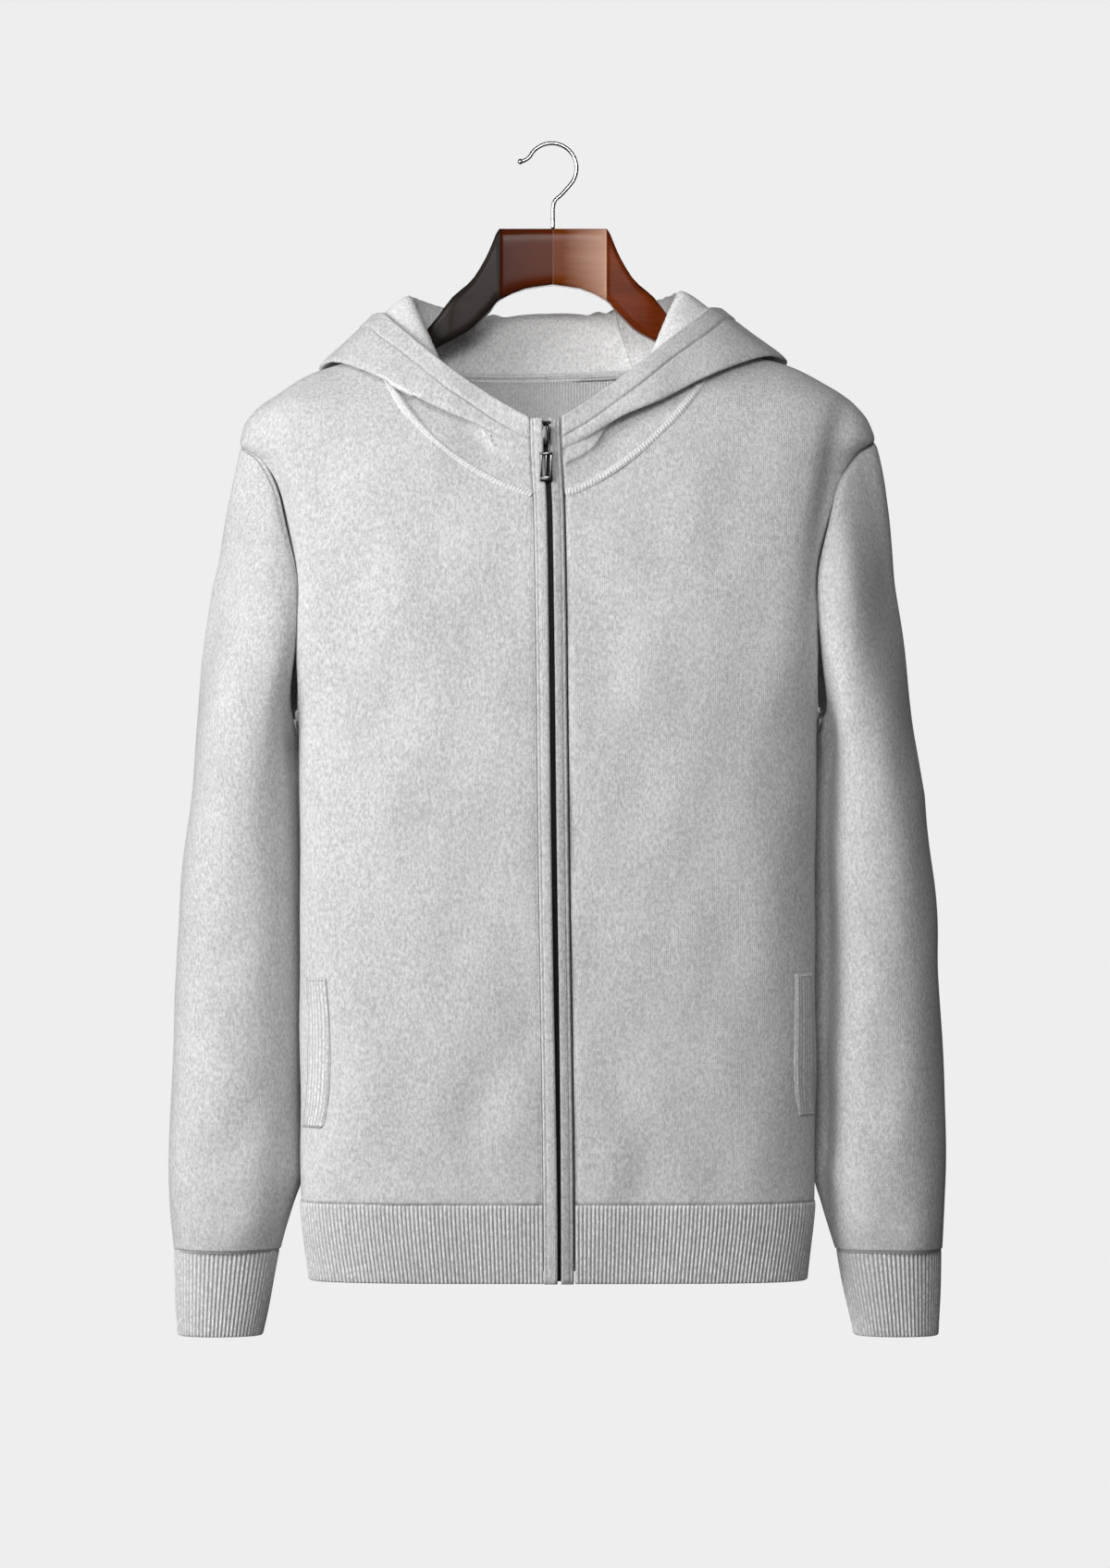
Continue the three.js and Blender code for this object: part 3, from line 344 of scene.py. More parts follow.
def normals_of(points, loops=False):
    if loops:
        wide = np.concatenate([points[:, -2:-1], points, points[:, 1:2]], axis=1)
        along_u = wide[:, 2:] - wide[:, :-2]
    else:
        along_u = np.gradient(points, axis=1)
    along_v = np.gradient(points, axis=0)
    normal = np.cross(along_u, along_v)
    return normal / np.maximum(1e-9, np.linalg.norm(normal, axis=-1, keepdims=True))


# %% [markdown]
# ## Creases
# A fold in soft cloth is a trough or a ridge that fades at both ends. Each one is a line on the
# front view with a width and a depth, and the cloth moves along its own normal by that much.


# %% Creases
def fold_relief(points, folds):
    """Adds up soft troughs (negative) and ridges. A fold is (depth, width, [(x, z), ...])."""
    x, z = points[..., 0], points[..., 2]
    relief = np.zeros_like(x)
    for depth, width, line in folds:
        nearest = np.full_like(x, 1e9)
        place = np.zeros_like(x)
        pieces = len(line) - 1
        for i in range(pieces):
            (x0, z0), (x1, z1) = line[i], line[i + 1]
            dx, dz = x1 - x0, z1 - z0
            t = np.clip(((x - x0) * dx + (z - z0) * dz) / (dx * dx + dz * dz), 0, 1)
            away = np.hypot(x - x0 - t * dx, z - z0 - t * dz)
            closer = away < nearest
            nearest = np.where(closer, away, nearest)
            place = np.where(closer, (i + t) / pieces, place)
        fade = np.sin(np.pi * np.clip(0.08 + 0.84 * place, 0, 1)) ** 0.6
        relief += depth * fade * np.exp(-((nearest / width) ** 2))
    return relief


def seam_dip(points, edges, depth=0.8, width=2.4):
    """How far the cloth sinks by its seams. edges names the sides of the grid that are sewn."""
    u, v = run_along(points, 1), run_along(points)
    away = {"first": u, "last": u[:, -1:] - u, "bottom": v, "top": v[-1:] - v}
    return -sum(depth * np.exp(-((away[edge] / width) ** 2)) for edge in edges)


# %% [markdown]
# ## Materials as sums
# Shader maths reads best as sums. A small class wraps a socket and adds the Math nodes behind the
# operators. Every other node comes from one method: its type, its settings, then its inputs.


# %% Finish
class Value:
    def __init__(self, finish, socket):
        self.finish, self.socket = finish, socket

    def joined(self, operation, *inputs):
        return self.finish.node("ShaderNodeMath", {"operation": operation}, dict(enumerate(inputs)))

    def __add__(self, other):
        return self.joined("ADD", self, other)

    def __sub__(self, other):
        return self.joined("SUBTRACT", self, other)

    def __rsub__(self, other):
        return self.joined("SUBTRACT", other, self)

    def __mul__(self, other):
        return self.joined("MULTIPLY", self, other)

    def __truediv__(self, other):
        return self.joined("DIVIDE", self, other)

    def __pow__(self, other):
        return self.joined("POWER", self, other)

    __radd__ = __add__
    __rmul__ = __mul__

    def sine(self):
        return self.joined("SINE", self)

    def clamped(self):
        return self.joined("MINIMUM", self.joined("MAXIMUM", self, 0.0), 1.0)

    def step(self, low, high):
        return ((self - low) / (high - low)).clamped()

    def wave(self, pitch):
        """Rises and falls from 0 to 1 once every pitch, in millimetres, along a run in metres."""
        return (self * (2000 * math.pi / pitch)).sine() * 0.5 + 0.5


class Finish:
    def __init__(self, name, **constants):
        self.material = bpy.data.materials.new(name)
        self.material.use_nodes = True
        self.tree = self.material.node_tree
        self.tree.nodes.clear()
        self.surface = self.tree.nodes.new("ShaderNodeBsdfPrincipled")
        self.output = self.tree.nodes.new("ShaderNodeOutputMaterial")
        self.tree.links.new(self.surface.outputs["BSDF"], self.output.inputs["Surface"])
        for socket, value in constants.items():
            self.surface.inputs[socket.replace("_", " ")].default_value = value

    def node(self, kind, settings=None, inputs=None, output=0):
        made = self.tree.nodes.new(kind)
        for name, value in (settings or {}).items():
            setattr(made, name, value)
        for name, value in (inputs or {}).items():
            if isinstance(value, Value):
                self.tree.links.new(value.socket, made.inputs[name])
            else:
                made.inputs[name].default_value = value
        return Value(self, made.outputs[output])

    def feed(self, socket, value):
        self.tree.links.new(value.socket, self.surface.inputs[socket])

    def noise(self, vector, scale, detail=2.0, roughness=0.5):
        inputs = {"Vector": vector, "Scale": scale, "Detail": detail, "Roughness": roughness}
        return self.node("ShaderNodeTexNoise", {}, inputs)

    def place(self):
        return self.node("ShaderNodeTexCoord", output="Object")

    def cut(self):
        return self.node("ShaderNodeUVMap", {"uv_map": "cut"})

    def parts(self, vector):
        first = self.node("ShaderNodeSeparateXYZ", {}, {0: vector})
        return [Value(self, output) for output in first.socket.node.outputs]

    def stretched(self, vector, scale):
        return self.node("ShaderNodeMapping", {}, {"Vector": vector, "Scale": scale})

    def color_mix(self, share, first, second):
        settings = {"data_type": "RGBA", "blend_type": "MIX"}
        return self.node("ShaderNodeMix", settings, {0: share, 6: first, 7: second}, 2)

    def bump(self, height, strength, distance):
        inputs = {"Height": height, "Strength": strength, "Distance": distance}
        self.feed("Normal", self.node("ShaderNodeBump", {}, inputs))


def rgb(*values):
    """A colour from sRGB values of 0 to 255, as the shader's linear numbers."""
    shares = [value / 255 for value in values]
    return (*(((s + 0.055) / 1.055) ** 2.4 if s > 0.04045 else s / 12.92 for s in shares), 1.0)


def grey(value):
    return rgb(value, value, value)


# %% [markdown]
# ## Knit cloth
# The yarn is a melange: light and dark fibres spun together, so close up the cloth is mottled, in
# flecks that run a little further along the wales than across. The nap catches light at the edges,
# which is what the sheen is for. The wales themselves are a fine ribbing in the bump, and the grooves
# between them are painted a little darker: painted shade. In rib knit the valleys between the ribs
# are painted darker still, also painted shade. The gusset, the hood's lining and the inside of the
# cloth are painted lighter than the body, painted light where the lamps reach little, and the left
# placket's cloth is painted darker: painted shade.


# %% Knit finish
def knit_finish(name, tone, wale=1.25, wale_depth=0.25, contrast=1.0, nap=0.6, rib=0):
    finish = Finish(name, Roughness=0.95, Sheen_Weight=0.25, Sheen_Roughness=0.45, Specular_IOR_Level=0.15)
    place = finish.place()
    cut = finish.cut()
    long_way = finish.stretched(place, (1, 1, 0.55))
    cloud = finish.noise(long_way, 28, 2, 0.5)
    fleck = finish.noise(long_way, 560, 3, 0.66)
    fibre = finish.noise(long_way, 1100, 2, 0.6)
    mottle = (fleck - 0.5) * (2.7 * contrast) + (fibre - 0.5) * (0.9 * contrast) + (cloud - 0.5) * 0.5
    across, along, _ = finish.parts(cut)
    columns, courses = across.wave(wale), along.wave(wale * 0.8)
    # The mottle is the yarn's own; the grooves between the wales are painted a little darker: painted shade.
    shade = mottle + 0.5 - (1 - columns) * (0.12 * wale_depth)
    dark, light = grey(tone - 26), grey(tone + 20)
    # In rib knit the valleys between the ribs are painted darker, with a deeper dark tone: painted shade.
    if rib:
        valley = ((across * (1000 * math.pi / rib)).sine() ** 2) * -1 + 1
        shade = shade - valley ** 2 * 0.9
        dark = grey(tone - 44)
    shade = shade.clamped()
    finish.feed("Base Color", finish.color_mix(shade, dark, light))
    height = columns * wale_depth + courses * (0.3 * wale_depth) + fleck * nap + fibre * (0.6 * nap)
    finish.bump(height, 0.55, 0.0007)
    return finish.material


knit = knit_finish("knit", 203)
# The gusset and the hood's lining are painted lighter than the body: painted light inside the hood.
knit_hood_painted_light = knit_finish("knit_hood_painted_light", 230)
# The left placket's cloth is painted darker than the body: painted shade.
knit_painted_shade = knit_finish("knit_painted_shade", 176)
# The inside of the cloth is painted much lighter than the body: painted light where the lamps reach little
# into the neck. Its coarser wales are the cloth's own.
knit_inside_painted_light = knit_finish("knit_inside_painted_light", 244, wale=2.2, wale_depth=0.9, contrast=0.6, nap=0.35)
rib_knit = knit_finish("rib_knit", 226, wale=1.0, wale_depth=0.2, contrast=0.9, nap=0.5, rib=3.0)
link_knit = knit_finish("link_knit", 224, wale=2.6, wale_depth=0.6, contrast=0.6, nap=0.4)

# %% [markdown]
# ## Sewing thread
# The thread is a shade lighter than the cloth and has no nap.

# %% Thread
thread_finish = Finish("thread", Roughness=0.7, Sheen_Weight=0.1)
thread_twist = thread_finish.noise(thread_finish.place(), 900, 2)
thread_finish.feed("Base Color", thread_finish.color_mix(thread_twist, grey(190), grey(222)))
thread = thread_finish.material
print("finishes", [material.name for material in bpy.data.materials])

# %% [markdown]
# ## Wood
# The hanger is stained dark red-brown under a clear coat, with the grain along the arms. The stain
# changes at the creases, 39 mm out: the wearer's right arm is nearly black, the middle goes from
# red-brown to a painted highlight of pale brown by the left crease, and the left arm runs from rust to amber.


# %% Wood finish
def wood_finish(name, side, middle, arm):
    """Each half has two colours on the flat middle, at the joint and by the crease, and two stains on the
    arm. On the left half, the pale colour by the crease is a painted highlight.
    """
    finish = Finish(name, Specular_IOR_Level=0.06, Coat_Weight=0.09, Coat_Roughness=0.16, Coat_IOR=1.45)
    place = finish.place()
    out_along = finish.parts(place)[0] * side
    grain_place = finish.stretched(place, (14, 60, 60))
    broad = finish.noise(grain_place, 1.2, 3, 0.55)
    fine = finish.noise(finish.stretched(place, (30, 420, 420)), 1.0, 3, 0.6)
    figure = (broad * 1.3 + fine * 0.55 - 0.42).clamped()
    # On the left half the middle grows pale toward the crease: a painted highlight, not stain.
    inner = finish.color_mix((figure * 0.35 + out_along * 30 - 0.4).clamped(), *middle)
    outer = finish.color_mix(figure, *arm)
    finish.feed("Base Color", finish.color_mix(out_along.step(0.0388, 0.0396), inner, outer))
    finish.feed("Roughness", figure * -0.12 + 0.38)
    finish.bump(fine * 0.5 + broad * 0.3, 0.06, 0.0004)
    return finish.material


red_brown, deep_brown = rgb(80, 31, 8), rgb(64, 23, 8)
# The pale brown by the left crease is a painted highlight.
orange_brown, painted_highlight_brown = rgb(104, 46, 8), rgb(182, 140, 118)
black_brown, dark_brown = rgb(24, 22, 20), rgb(46, 38, 34)
rust, amber = rgb(66, 18, 3), rgb(128, 54, 16)
wood_right = wood_finish("wood_right", -1, (red_brown, deep_brown), (black_brown, dark_brown))
wood_left = wood_finish("wood_left", 1, (orange_brown, painted_highlight_brown), (rust, amber))

# %% [markdown]
# ## Metal
# The hook is bright chromed wire. The slider and its pull are black nickel: dark, but a mirror.


# %% Metal finishes
def metal_finish(name, tone, roughness, wear):
    finish = Finish(name, Metallic=1.0)
    smear = finish.noise(finish.place(), 160, 3, 0.6)
    color = grey(tone)
    worn = (*(channel * wear for channel in color[:3]), 1.0)
    finish.feed("Base Color", finish.color_mix(smear.step(0.35, 0.75), color, worn))
    finish.feed("Roughness", smear * 0.1 + (roughness - 0.05))
    return finish.material


chrome = metal_finish("chrome", 176, 0.2, 0.8)
black_nickel = metal_finish("black_nickel", 96, 0.2, 0.7)
tooth_metal = metal_finish("tooth_metal", 52, 0.35, 0.7)

# %% [markdown]
# ## Zip tape
# The tape is a fine twill weave, nearly black in the shade between the two plackets.

# %% Tape finish
tape_finish = Finish("tape", Roughness=0.85)
tape_across, tape_along, _ = tape_finish.parts(tape_finish.cut())
tape_twill = (tape_across + tape_along).wave(0.9)
tape_finish.feed("Base Color", tape_finish.color_mix(tape_twill, grey(30), grey(52)))
tape_finish.bump(tape_twill, 0.4, 0.0003)
tape = tape_finish.material

# %% [markdown]
# ## From a grid to a piece of cloth
# A grid is made flat by the operator, its vertices are moved onto the points worked out above, and
# Solidify gives the cloth its thickness. The flat pattern stays with it as the UV map "cut", in
# metres, so that the wales follow the cloth and the sheet can be checked against its cut.


# %% Pieces
MM, WELD = 0.001, 1e-6


def cut_of(points):
    """Lays a grid out flat by its own lengths, for cloth that has no drawn pattern."""
    middle = points.shape[1] // 2
    u, v = run_along(points, 1), run_along(points[:, middle])
    return np.stack([u - u[:, middle : middle + 1], np.broadcast_to(v[:, None], u.shape)], axis=-1)


def flat_size(cut):
    spans = cut.reshape(-1, 2).max(axis=0) - cut.reshape(-1, 2).min(axis=0)
    a, b, c, d = cut[:-1, :-1], cut[:-1, 1:], cut[1:, 1:], cut[1:, :-1]
    cross = lambda p, q: p[..., 0] * q[..., 1] - p[..., 1] * q[..., 0]
    area = 0.5 * np.abs(cross(b - a, c - a) + cross(c - a, d - a)).sum()
    return (float(spans[0] * MM), float(spans[1] * MM)), float(area * MM * MM)


def object_from(name, work, smooth=True):
    """Turns a finished bmesh into an object of the scene."""
    mesh = bpy.data.meshes.new(name)
    work.to_mesh(mesh)
    work.free()
    if smooth:
        mesh.shade_smooth()
    made = bpy.data.objects.new(name, mesh)
    bpy.context.collection.objects.link(made)
    return made


def soften_edges(work, offset, segments):
    bmesh.ops.bevel(
        work, geom=work.edges[:], offset=offset * MM,
        affect="EDGES", segments=segments, profile=0.5, material=-1,
    )


def grid_object(name, points, cut, closed):
    """A grid of points as a mesh. closed welds its first column to its last."""
    rows, columns = points.shape[0] - 1, points.shape[1] - 1
    work = bmesh.new()
    bmesh.ops.create_grid(work, x_segments=columns, y_segments=rows, size=1)
    made = object_from(name, work)
    mesh = made.data
    mesh.vertices.foreach_set("co", (points.reshape(-1, 3) * MM).ravel())
    layer = mesh.uv_layers.new(name="cut")
    corner = np.empty(len(mesh.loops), dtype=np.int32)
    mesh.loops.foreach_get("vertex_index", corner)
    layer.data.foreach_set("uv", (cut.reshape(-1, 2)[corner] * MM).ravel())
    if closed:
        work = bmesh.new()
        work.from_mesh(mesh)
        bmesh.ops.remove_doubles(work, verts=work.verts, dist=WELD)
        work.to_mesh(mesh)
        work.free()
    return made


def finish_piece(made, material, nodes=(), body=GARMENT):
    if not made.data.materials:
        made.data.materials.append(material)
    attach(made, body)
    if nodes:
        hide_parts(*nodes)


def cloth_piece(
    name, points, material, nodes,
    cut=None, closed=False, thick=CLOTH, inside=None, opened=None,
):
    """One piece of cloth, in place of the nodes, which are hidden. opened is its flat pattern, if the UV map
    is not.
    """
    cut = cut_of(points) if cut is None else cut
    made = grid_object(name, points, cut, closed)
    made.data.materials.append(material)
    made.data.materials.append(inside or material)
    wall = made.modifiers.new("thickness", "SOLIDIFY")
    wall.thickness = thick * MM
    wall.offset = -1
    wall.material_offset = 1
    finish_piece(made, material, nodes)
    size, area = flat_size(cut if opened is None else opened)
    faces = len(made.data.polygons)
    print(name, "faces", faces, "cut", [round(s, 3) for s in size], "area", round(area, 4))


# %% [markdown]
# ## Fronts and back
# Each front panel runs from the zip to the side seam and up to the neckline and shoulder. It sinks
# a little into every seam, and a soft valley runs inside each armhole, where the sleeve's weight
# pulls. The back is one piece.

# %% Panels
front_folds = [
    (-6.0, 10, [(212, -196), (207, -220), (203, -248), (199, -275), (196, -300), (195, -328)]),
    (-5.5, 10, [(-212, -214), (-208, -236), (-203, -258), (-198, -282), (-193, -312), (-190, -330)]),
    (1.2, 16, [(168, -230), (172, -300), (176, -380)]),
    (2.0, 14, [(-184, -240), (-178, -300), (-176, -380)]),
    (-2.0, 15, [(-12, -640), (-40, -680), (-62, -720), (-50, -768)]),
    (1.5, 16, [(-14, -700), (-34, -735), (-24, -770)]),
    (-1.8, 15, [(22, -650), (48, -690), (66, -735), (58, -770)]),
    (-1.1, 22, [(-120, -560), (-118, -640), (-122, -720)]),
    (-1.1, 22, [(118, -540), (122, -640), (120, -715)]),
    (-0.9, 26, [(-140, -360), (-128, -450), (-132, -540)]),
    (-0.9, 26, [(142, -360), (130, -450), (134, -540)]),
    (-1.4, 10, [(-150, -742), (-110, -752), (-70, -748)]),
]
back_folds = [
    (-3.0, 10, [(206, -215), (202, -270), (196, -335)]),
    (-3.0, 10, [(-206, -225), (-202, -270), (-194, -335)]),
    (-2.2, 22, [(30, -420), (36, -560), (30, -700)]),
    (-2.2, 24, [(-60, -380), (-52, -520), (-64, -680)]),
    (1.6, 22, [(90, -360), (84, -520), (96, -690)]),
    (-2.0, 16, [(-120, -690), (-60, -735), (0, -765)]),
    (-1.6, 16, [(130, -680), (90, -735), (40, -766)]),
]


def soft_waves(points, amount, seed=3):
    """The slight unevenness of hanging cloth: a few long waves that cross each other."""
    dice = np.random.default_rng(seed)
    total = np.zeros(points.shape[:-1])
    for _ in range(7):
        length = dice.uniform(45, 120)
        way = dice.normal(size=3)
        way *= 2 * np.pi / length / np.linalg.norm(way)
        total += np.sin(points @ way + dice.uniform(0, 2 * np.pi))
    return total * amount / 7


def dressed(points, folds, edges, waves=1.6, loops=False):
    """Moves the points of a panel in or out: its folds, its seams and the cloth's slight waves."""
    relief = fold_relief(points, folds) + soft_waves(points, waves) + seam_dip(points, edges)
    return points + normals_of(points, loops) * relief[..., None]


def front_panel(columns=66, rows=104):
    cut = fill_patch(*body_edges("front"), stations(columns), stations(rows))
    return on_form("front", cut), cut


def back_panel(columns=66, rows=104):
    cut = fill_patch(*body_edges("back"), stations(columns), stations(rows))
    points = on_form("back", cut)
    return [np.concatenate([half[:, ::-1], mirrored(half)[:, ::-1][:, 1:]], axis=1) for half in (points, cut)]


sewn_edges = ("first", "last", "top")
sewn_lines = {}
front_points, front_cut = front_panel()
for side in ("left", "right"):
    points = shoulders(hang(front_points if side == "left" else mirrored(front_points)))
    cut = front_cut if side == "left" else mirrored(front_cut)
    ups = normals_of(points)
    points = dressed(points, front_folds, sewn_edges)
    on = [f"hanger_arm_{side}"]
    nodes = [f"front_{side}"]
    cloth_piece(f"front_panel_{side}", points, knit, nodes, cut, inside=knit_inside_painted_light)
    outer = -1 if side == "left" else 0
    sewn_lines[f"side_seam_{side}"] = (points[:, outer], ups[:, outer])
    sewn_lines[f"shoulder_seam_{side}"] = (points[-1], ups[-1])
    sewn_lines[f"hem_seam_{side}"] = (points[0], ups[0])
back_points, back_cut = back_panel()
back_points = shoulders(hang(back_points))
back_ups = normals_of(back_points)
back_points = dressed(back_points, back_folds, sewn_edges)
on = ["hanger_arm_left", "hanger_arm_right"]
cloth_piece("back_panel", back_points, knit, ["back"], back_cut, inside=knit_inside_painted_light)
sewn_lines["hem_seam_back"] = (back_points[0], back_ups[0])

# %% [markdown]
# ## Sleeves
# A sleeve starts as the loop of the armhole, drops away over the tip of the shoulder and settles
# into level ovals. Each line down the arm is one curve, so that the cap has no corner. A row gives
# the height, the outer side's x, the width, the depth and how far back the oval's middle lies.

# %% Sleeves
sleeve_rows = [
    (-478, 270.6, 80, 118, 10), (-532, 276, 86, 112, 9), (-587, 280, 90, 106, 8),
    (-641, 282.2, 92.5, 101, 6), (-696, 284.2, 94.5, 96, 4), (-750, 286, 95, 90, 2),
    (-777, 285.2, 89, 85, 1), (-796, 283.6, 83.5, 77, 0), (-810, 282.4, 79, 68, 0),
]
sleeve_curves = table_curves(sleeve_rows)
SLEEVE_START, SLEEVE_END, CUFF_TOP, CUFF_HEIGHT = -478.0, -810.0, -810.6, 63.5
OVAL_POWER = 2.3


def oval_point(outer, width, depth, y, turn, z):
    c, s = np.cos(turn), np.sin(turn)
    r = (np.abs(c) ** OVAL_POWER + np.abs(s) ** OVAL_POWER) ** (-1 / OVAL_POWER)
    x = outer - width / 2 + width / 2 * r * c
    return np.stack(np.broadcast_arrays(x, y - depth / 2 * r * s, z + 0.0 * x), axis=-1)


def sleeve_level(turn, z):
    return oval_point(*(curve(z) for curve in sleeve_curves), turn, z)


def armhole_loop(share):
    front = on_form("front", armhole["front"](np.clip(1 - 2 * share, 0, 1)))
    back = on_form("back", armhole["back"](np.clip(2 * share - 1, 0, 1)))
    return np.where((share < 0.5)[:, None], front, back)


def sleeve_points(around=96, cap=44, below=62):
    share = np.linspace(0, 1, around + 1)
    turn = 2 * np.pi * share
    start, end = armhole_loop(share), sleeve_level(turn, np.array(SLEEVE_START))
    reach = np.linalg.norm(end - start, axis=1, keepdims=True)
    away = np.stack([0.42 - 0.14 * np.cos(turn), -0.42 * np.sin(turn), np.full_like(turn, -0.9)], axis=1)
    away = unit(away) * reach
    down = unit(sleeve_level(turn, np.array(SLEEVE_START - 10)) - end) * reach
    t = np.unique(np.concatenate([np.linspace(0, 1, cap + 1), [0.004, 0.009, 0.015]]))[:-1, None, None]
    a, b, c, d = start, start + away / 3, end - down / 3, end
    curves = (1 - t) ** 3 * a + 3 * (1 - t) ** 2 * t * b + 3 * (1 - t) * t**2 * c + t**3 * d
    levels = np.linspace(SLEEVE_START, SLEEVE_END, below + 1)
    levels = np.unique(np.concatenate([levels, [-809, -807.5, -806]]))[::-1]
    straight = np.array([sleeve_level(turn, np.array(z)) for z in levels])
    points = np.concatenate([curves, straight])
    under = 0.7 * np.maximum(0, -np.cos(turn)) * np.exp(-((np.arange(len(points)) / 6.0) ** 2))[:, None]
    points[..., 0] += under
    points[..., 2] -= under
    return points


sleeve_folds = {
    "left": [
        (-1.6, 14, [(240, -420), (262, -470), (268, -520)]),
        (-1.4, 16, [(225, -560), (250, -590), (272, -600)]),
        (1.2, 18, [(232, -600), (256, -640), (262, -690)]),
        (-1.6, 13, [(215, -700), (238, -735), (262, -752)]),
        (-1.2, 12, [(228, -770), (250, -785), (276, -780)]),
    ],
    "right": [
        (-1.6, 14, [(-236, -420), (-252, -470), (-256, -520)]),
        (-1.4, 16, [(-215, -570), (-240, -600), (-262, -606)]),
        (1.2, 18, [(-226, -610), (-248, -650), (-252, -690)]),
        (-1.6, 13, [(-206, -690), (-232, -730), (-256, -748)]),
        (-1.2, 12, [(-220, -768), (-242, -784), (-268, -778)]),
    ],
}


# The sleeve leans against the body. Its inner front sinks away there into a deep, dark groove,
# and lower down its inner side comes to rest behind the side seam. Each row is a height, the
# groove of the left and the right sleeve, and how far the inner side moves over.
lean_rows = [
    (-810, 0, 0, 0), (-798, 1.5, 0.5, 0.6), (-777, 6, 1, 2.6), (-755, 10, 1.5, 4.6), (-730, 12, 1.5, 3.4),
    (-690, 12, 1.5, 2.2), (-520, 12, 1.5, 2.0), (-470, 11, 2, 1.0), (-440, 9, 4, 0), (-400, 7, 6, 0),
    (-340, 6, 7, 0), (-300, 3, 4, 0), (-265, 0, 0, 0),
]
left_groove, right_groove, move_over = table_curves(lean_rows)


def leaning(points, groove_at, centre, near, far):
    """centre is the turn at which the groove lies, near and far its widths before and after it."""
    turn = np.linspace(0, 2 * np.pi, points.shape[1])[None, :]
    z = np.clip(points[..., 2], -810, -265)
    groove = groove_at(z) * np.exp(-(((turn - centre) / np.where(turn < centre, near, far)) ** 2))
    move = move_over(z) * ((1 - np.cos(turn)) / 2) ** 1.5
    return points + np.stack([0.8 * groove - move, 0.6 * groove, 0 * z], axis=-1)


bare_sleeve = sleeve_points()
grooves = {"left": (left_groove, 2.78, 0.5, 0.24), "right": (right_groove, 2.66, 0.42, 0.42)}
for side in ("left", "right"):
    points = leaning(bare_sleeve, *grooves[side])
    points = shoulders(hang(points if side == "left" else mirrored(points)))
    ups = normals_of(points, True)
    points = dressed(points, sleeve_folds[side], ("bottom",), waves=1.8, loops=True)
    sewn_lines[f"cuff_seam_{side}"] = (points[-1], ups[-1])
    sewn_lines[f"armhole_seam_{side}"] = (points[0], ups[0])
    opened = cut_of(points)
    opened[..., 1] = run_along(points[::-1])[::-1]
    name, nodes, on = f"sleeve_tube_{side}", [f"sleeve_{side}"], [f"front_{side}", "back"]
    cloth_piece(name, points, knit, nodes, closed=True, inside=knit_inside_painted_light, opened=opened)

# %% [markdown]
# ## Ribbed hem and cuffs
# Rib knit is wales that stand up and wales that sink back, and at three millimetres a pair it is
# coarse enough to see, so each rib here is real: the points across the band rise and fall. The free
# edge turns under, as the fold of a double band does.

# %% Ribs
RIB_PITCH, RIB_HEIGHT = 3.0, 0.95
rib_section = np.array([0.0, 0.42, 0.82, 1.0, 1.0, 0.82, 0.42])


def rib_relief(ribs):
    pattern = np.tile(rib_section, ribs)
    return np.append(pattern, pattern[0]) * RIB_HEIGHT - 0.1


def turned_edge(points, normals, end, radius=1.7, steps=4):
    """Rolls a free edge inwards. end is the row index of the edge: 0 or -1."""
    inside = 1 if end == 0 else -2
    edge, normal = points[end], normals[end]
    along = unit(edge - points[inside])
    rows = []
    for i in range(1, steps + 1):
        turn = np.pi / 2 * 1.25 * i / steps
        rows.append(edge + along * radius * np.sin(turn) - normal * radius * (1 - np.cos(turn)))
    rolled = np.array(rows)
    return np.concatenate([rolled[::-1], points]) if end == 0 else np.concatenate([points, rolled])


def rib_band(name, points, ribs, nodes, closed, free_end):
    normals = normals_of(points, closed)
    from_seam = np.arange(len(points)) / (len(points) - 1)
    if free_end == 0:
        from_seam = 1 - from_seam
    grown = 0.55 + 0.45 * smooth_step(from_seam, 0, 0.06)
    relief = grown[:, None] * rib_relief(ribs)[None, :] + soft_waves(points, 1.0, 8)
    raised = points + normals * relief[..., None]
    rolled = turned_edge(raised, normals, free_end)
    opened = cut_of(rolled)
    cut = opened.copy()
    cut[..., 0] = np.arange(rolled.shape[1]) / len(rib_section) * RIB_PITCH
    cloth_piece(name, rolled, rib_knit, nodes, cut, closed=closed, thick=2.2, opened=opened)


def hem_points(face, ribs, rows=22):
    """Half the band in front, from the zip to the side seam, or the whole of it behind."""
    share = np.linspace(0, 1, ribs * len(rib_section) + 1)
    z = np.linspace(HEM_Z + 1.7, HEM_SEAM_Z - 0.15, rows + 1)
    far = girth(face, z)
    start = np.full_like(far, PANEL_EDGE) if face == "front" else -far
    across = start[:, None] + (far - start)[:, None] * share[None, :]
    signed = np.sign(across) + (across == 0)
    points = on_form(face, np.stack([np.abs(across), np.broadcast_to(z[:, None], across.shape)], axis=-1))
    points[..., 0] *= signed
    return points


front_ribs = round((girth("front", HEM_SEAM_Z)[0] - PANEL_EDGE) / RIB_PITCH)
back_ribs = round(2 * girth("back", HEM_SEAM_Z)[0] / RIB_PITCH)
half_hem = hem_points("front", front_ribs)
for side in ("left", "right"):
    points = half_hem if side == "left" else mirrored(half_hem)
    rib_band(f"hem_band_{side}", hang(points), front_ribs, [f"hem_{side}"], False, 0)
back_hem = hem_points("back", back_ribs)[:, ::-1]
rib_band("hem_band_back", hang(back_hem), back_ribs, ["hem_back"], False, 0)


CUFF_RIBS = 72


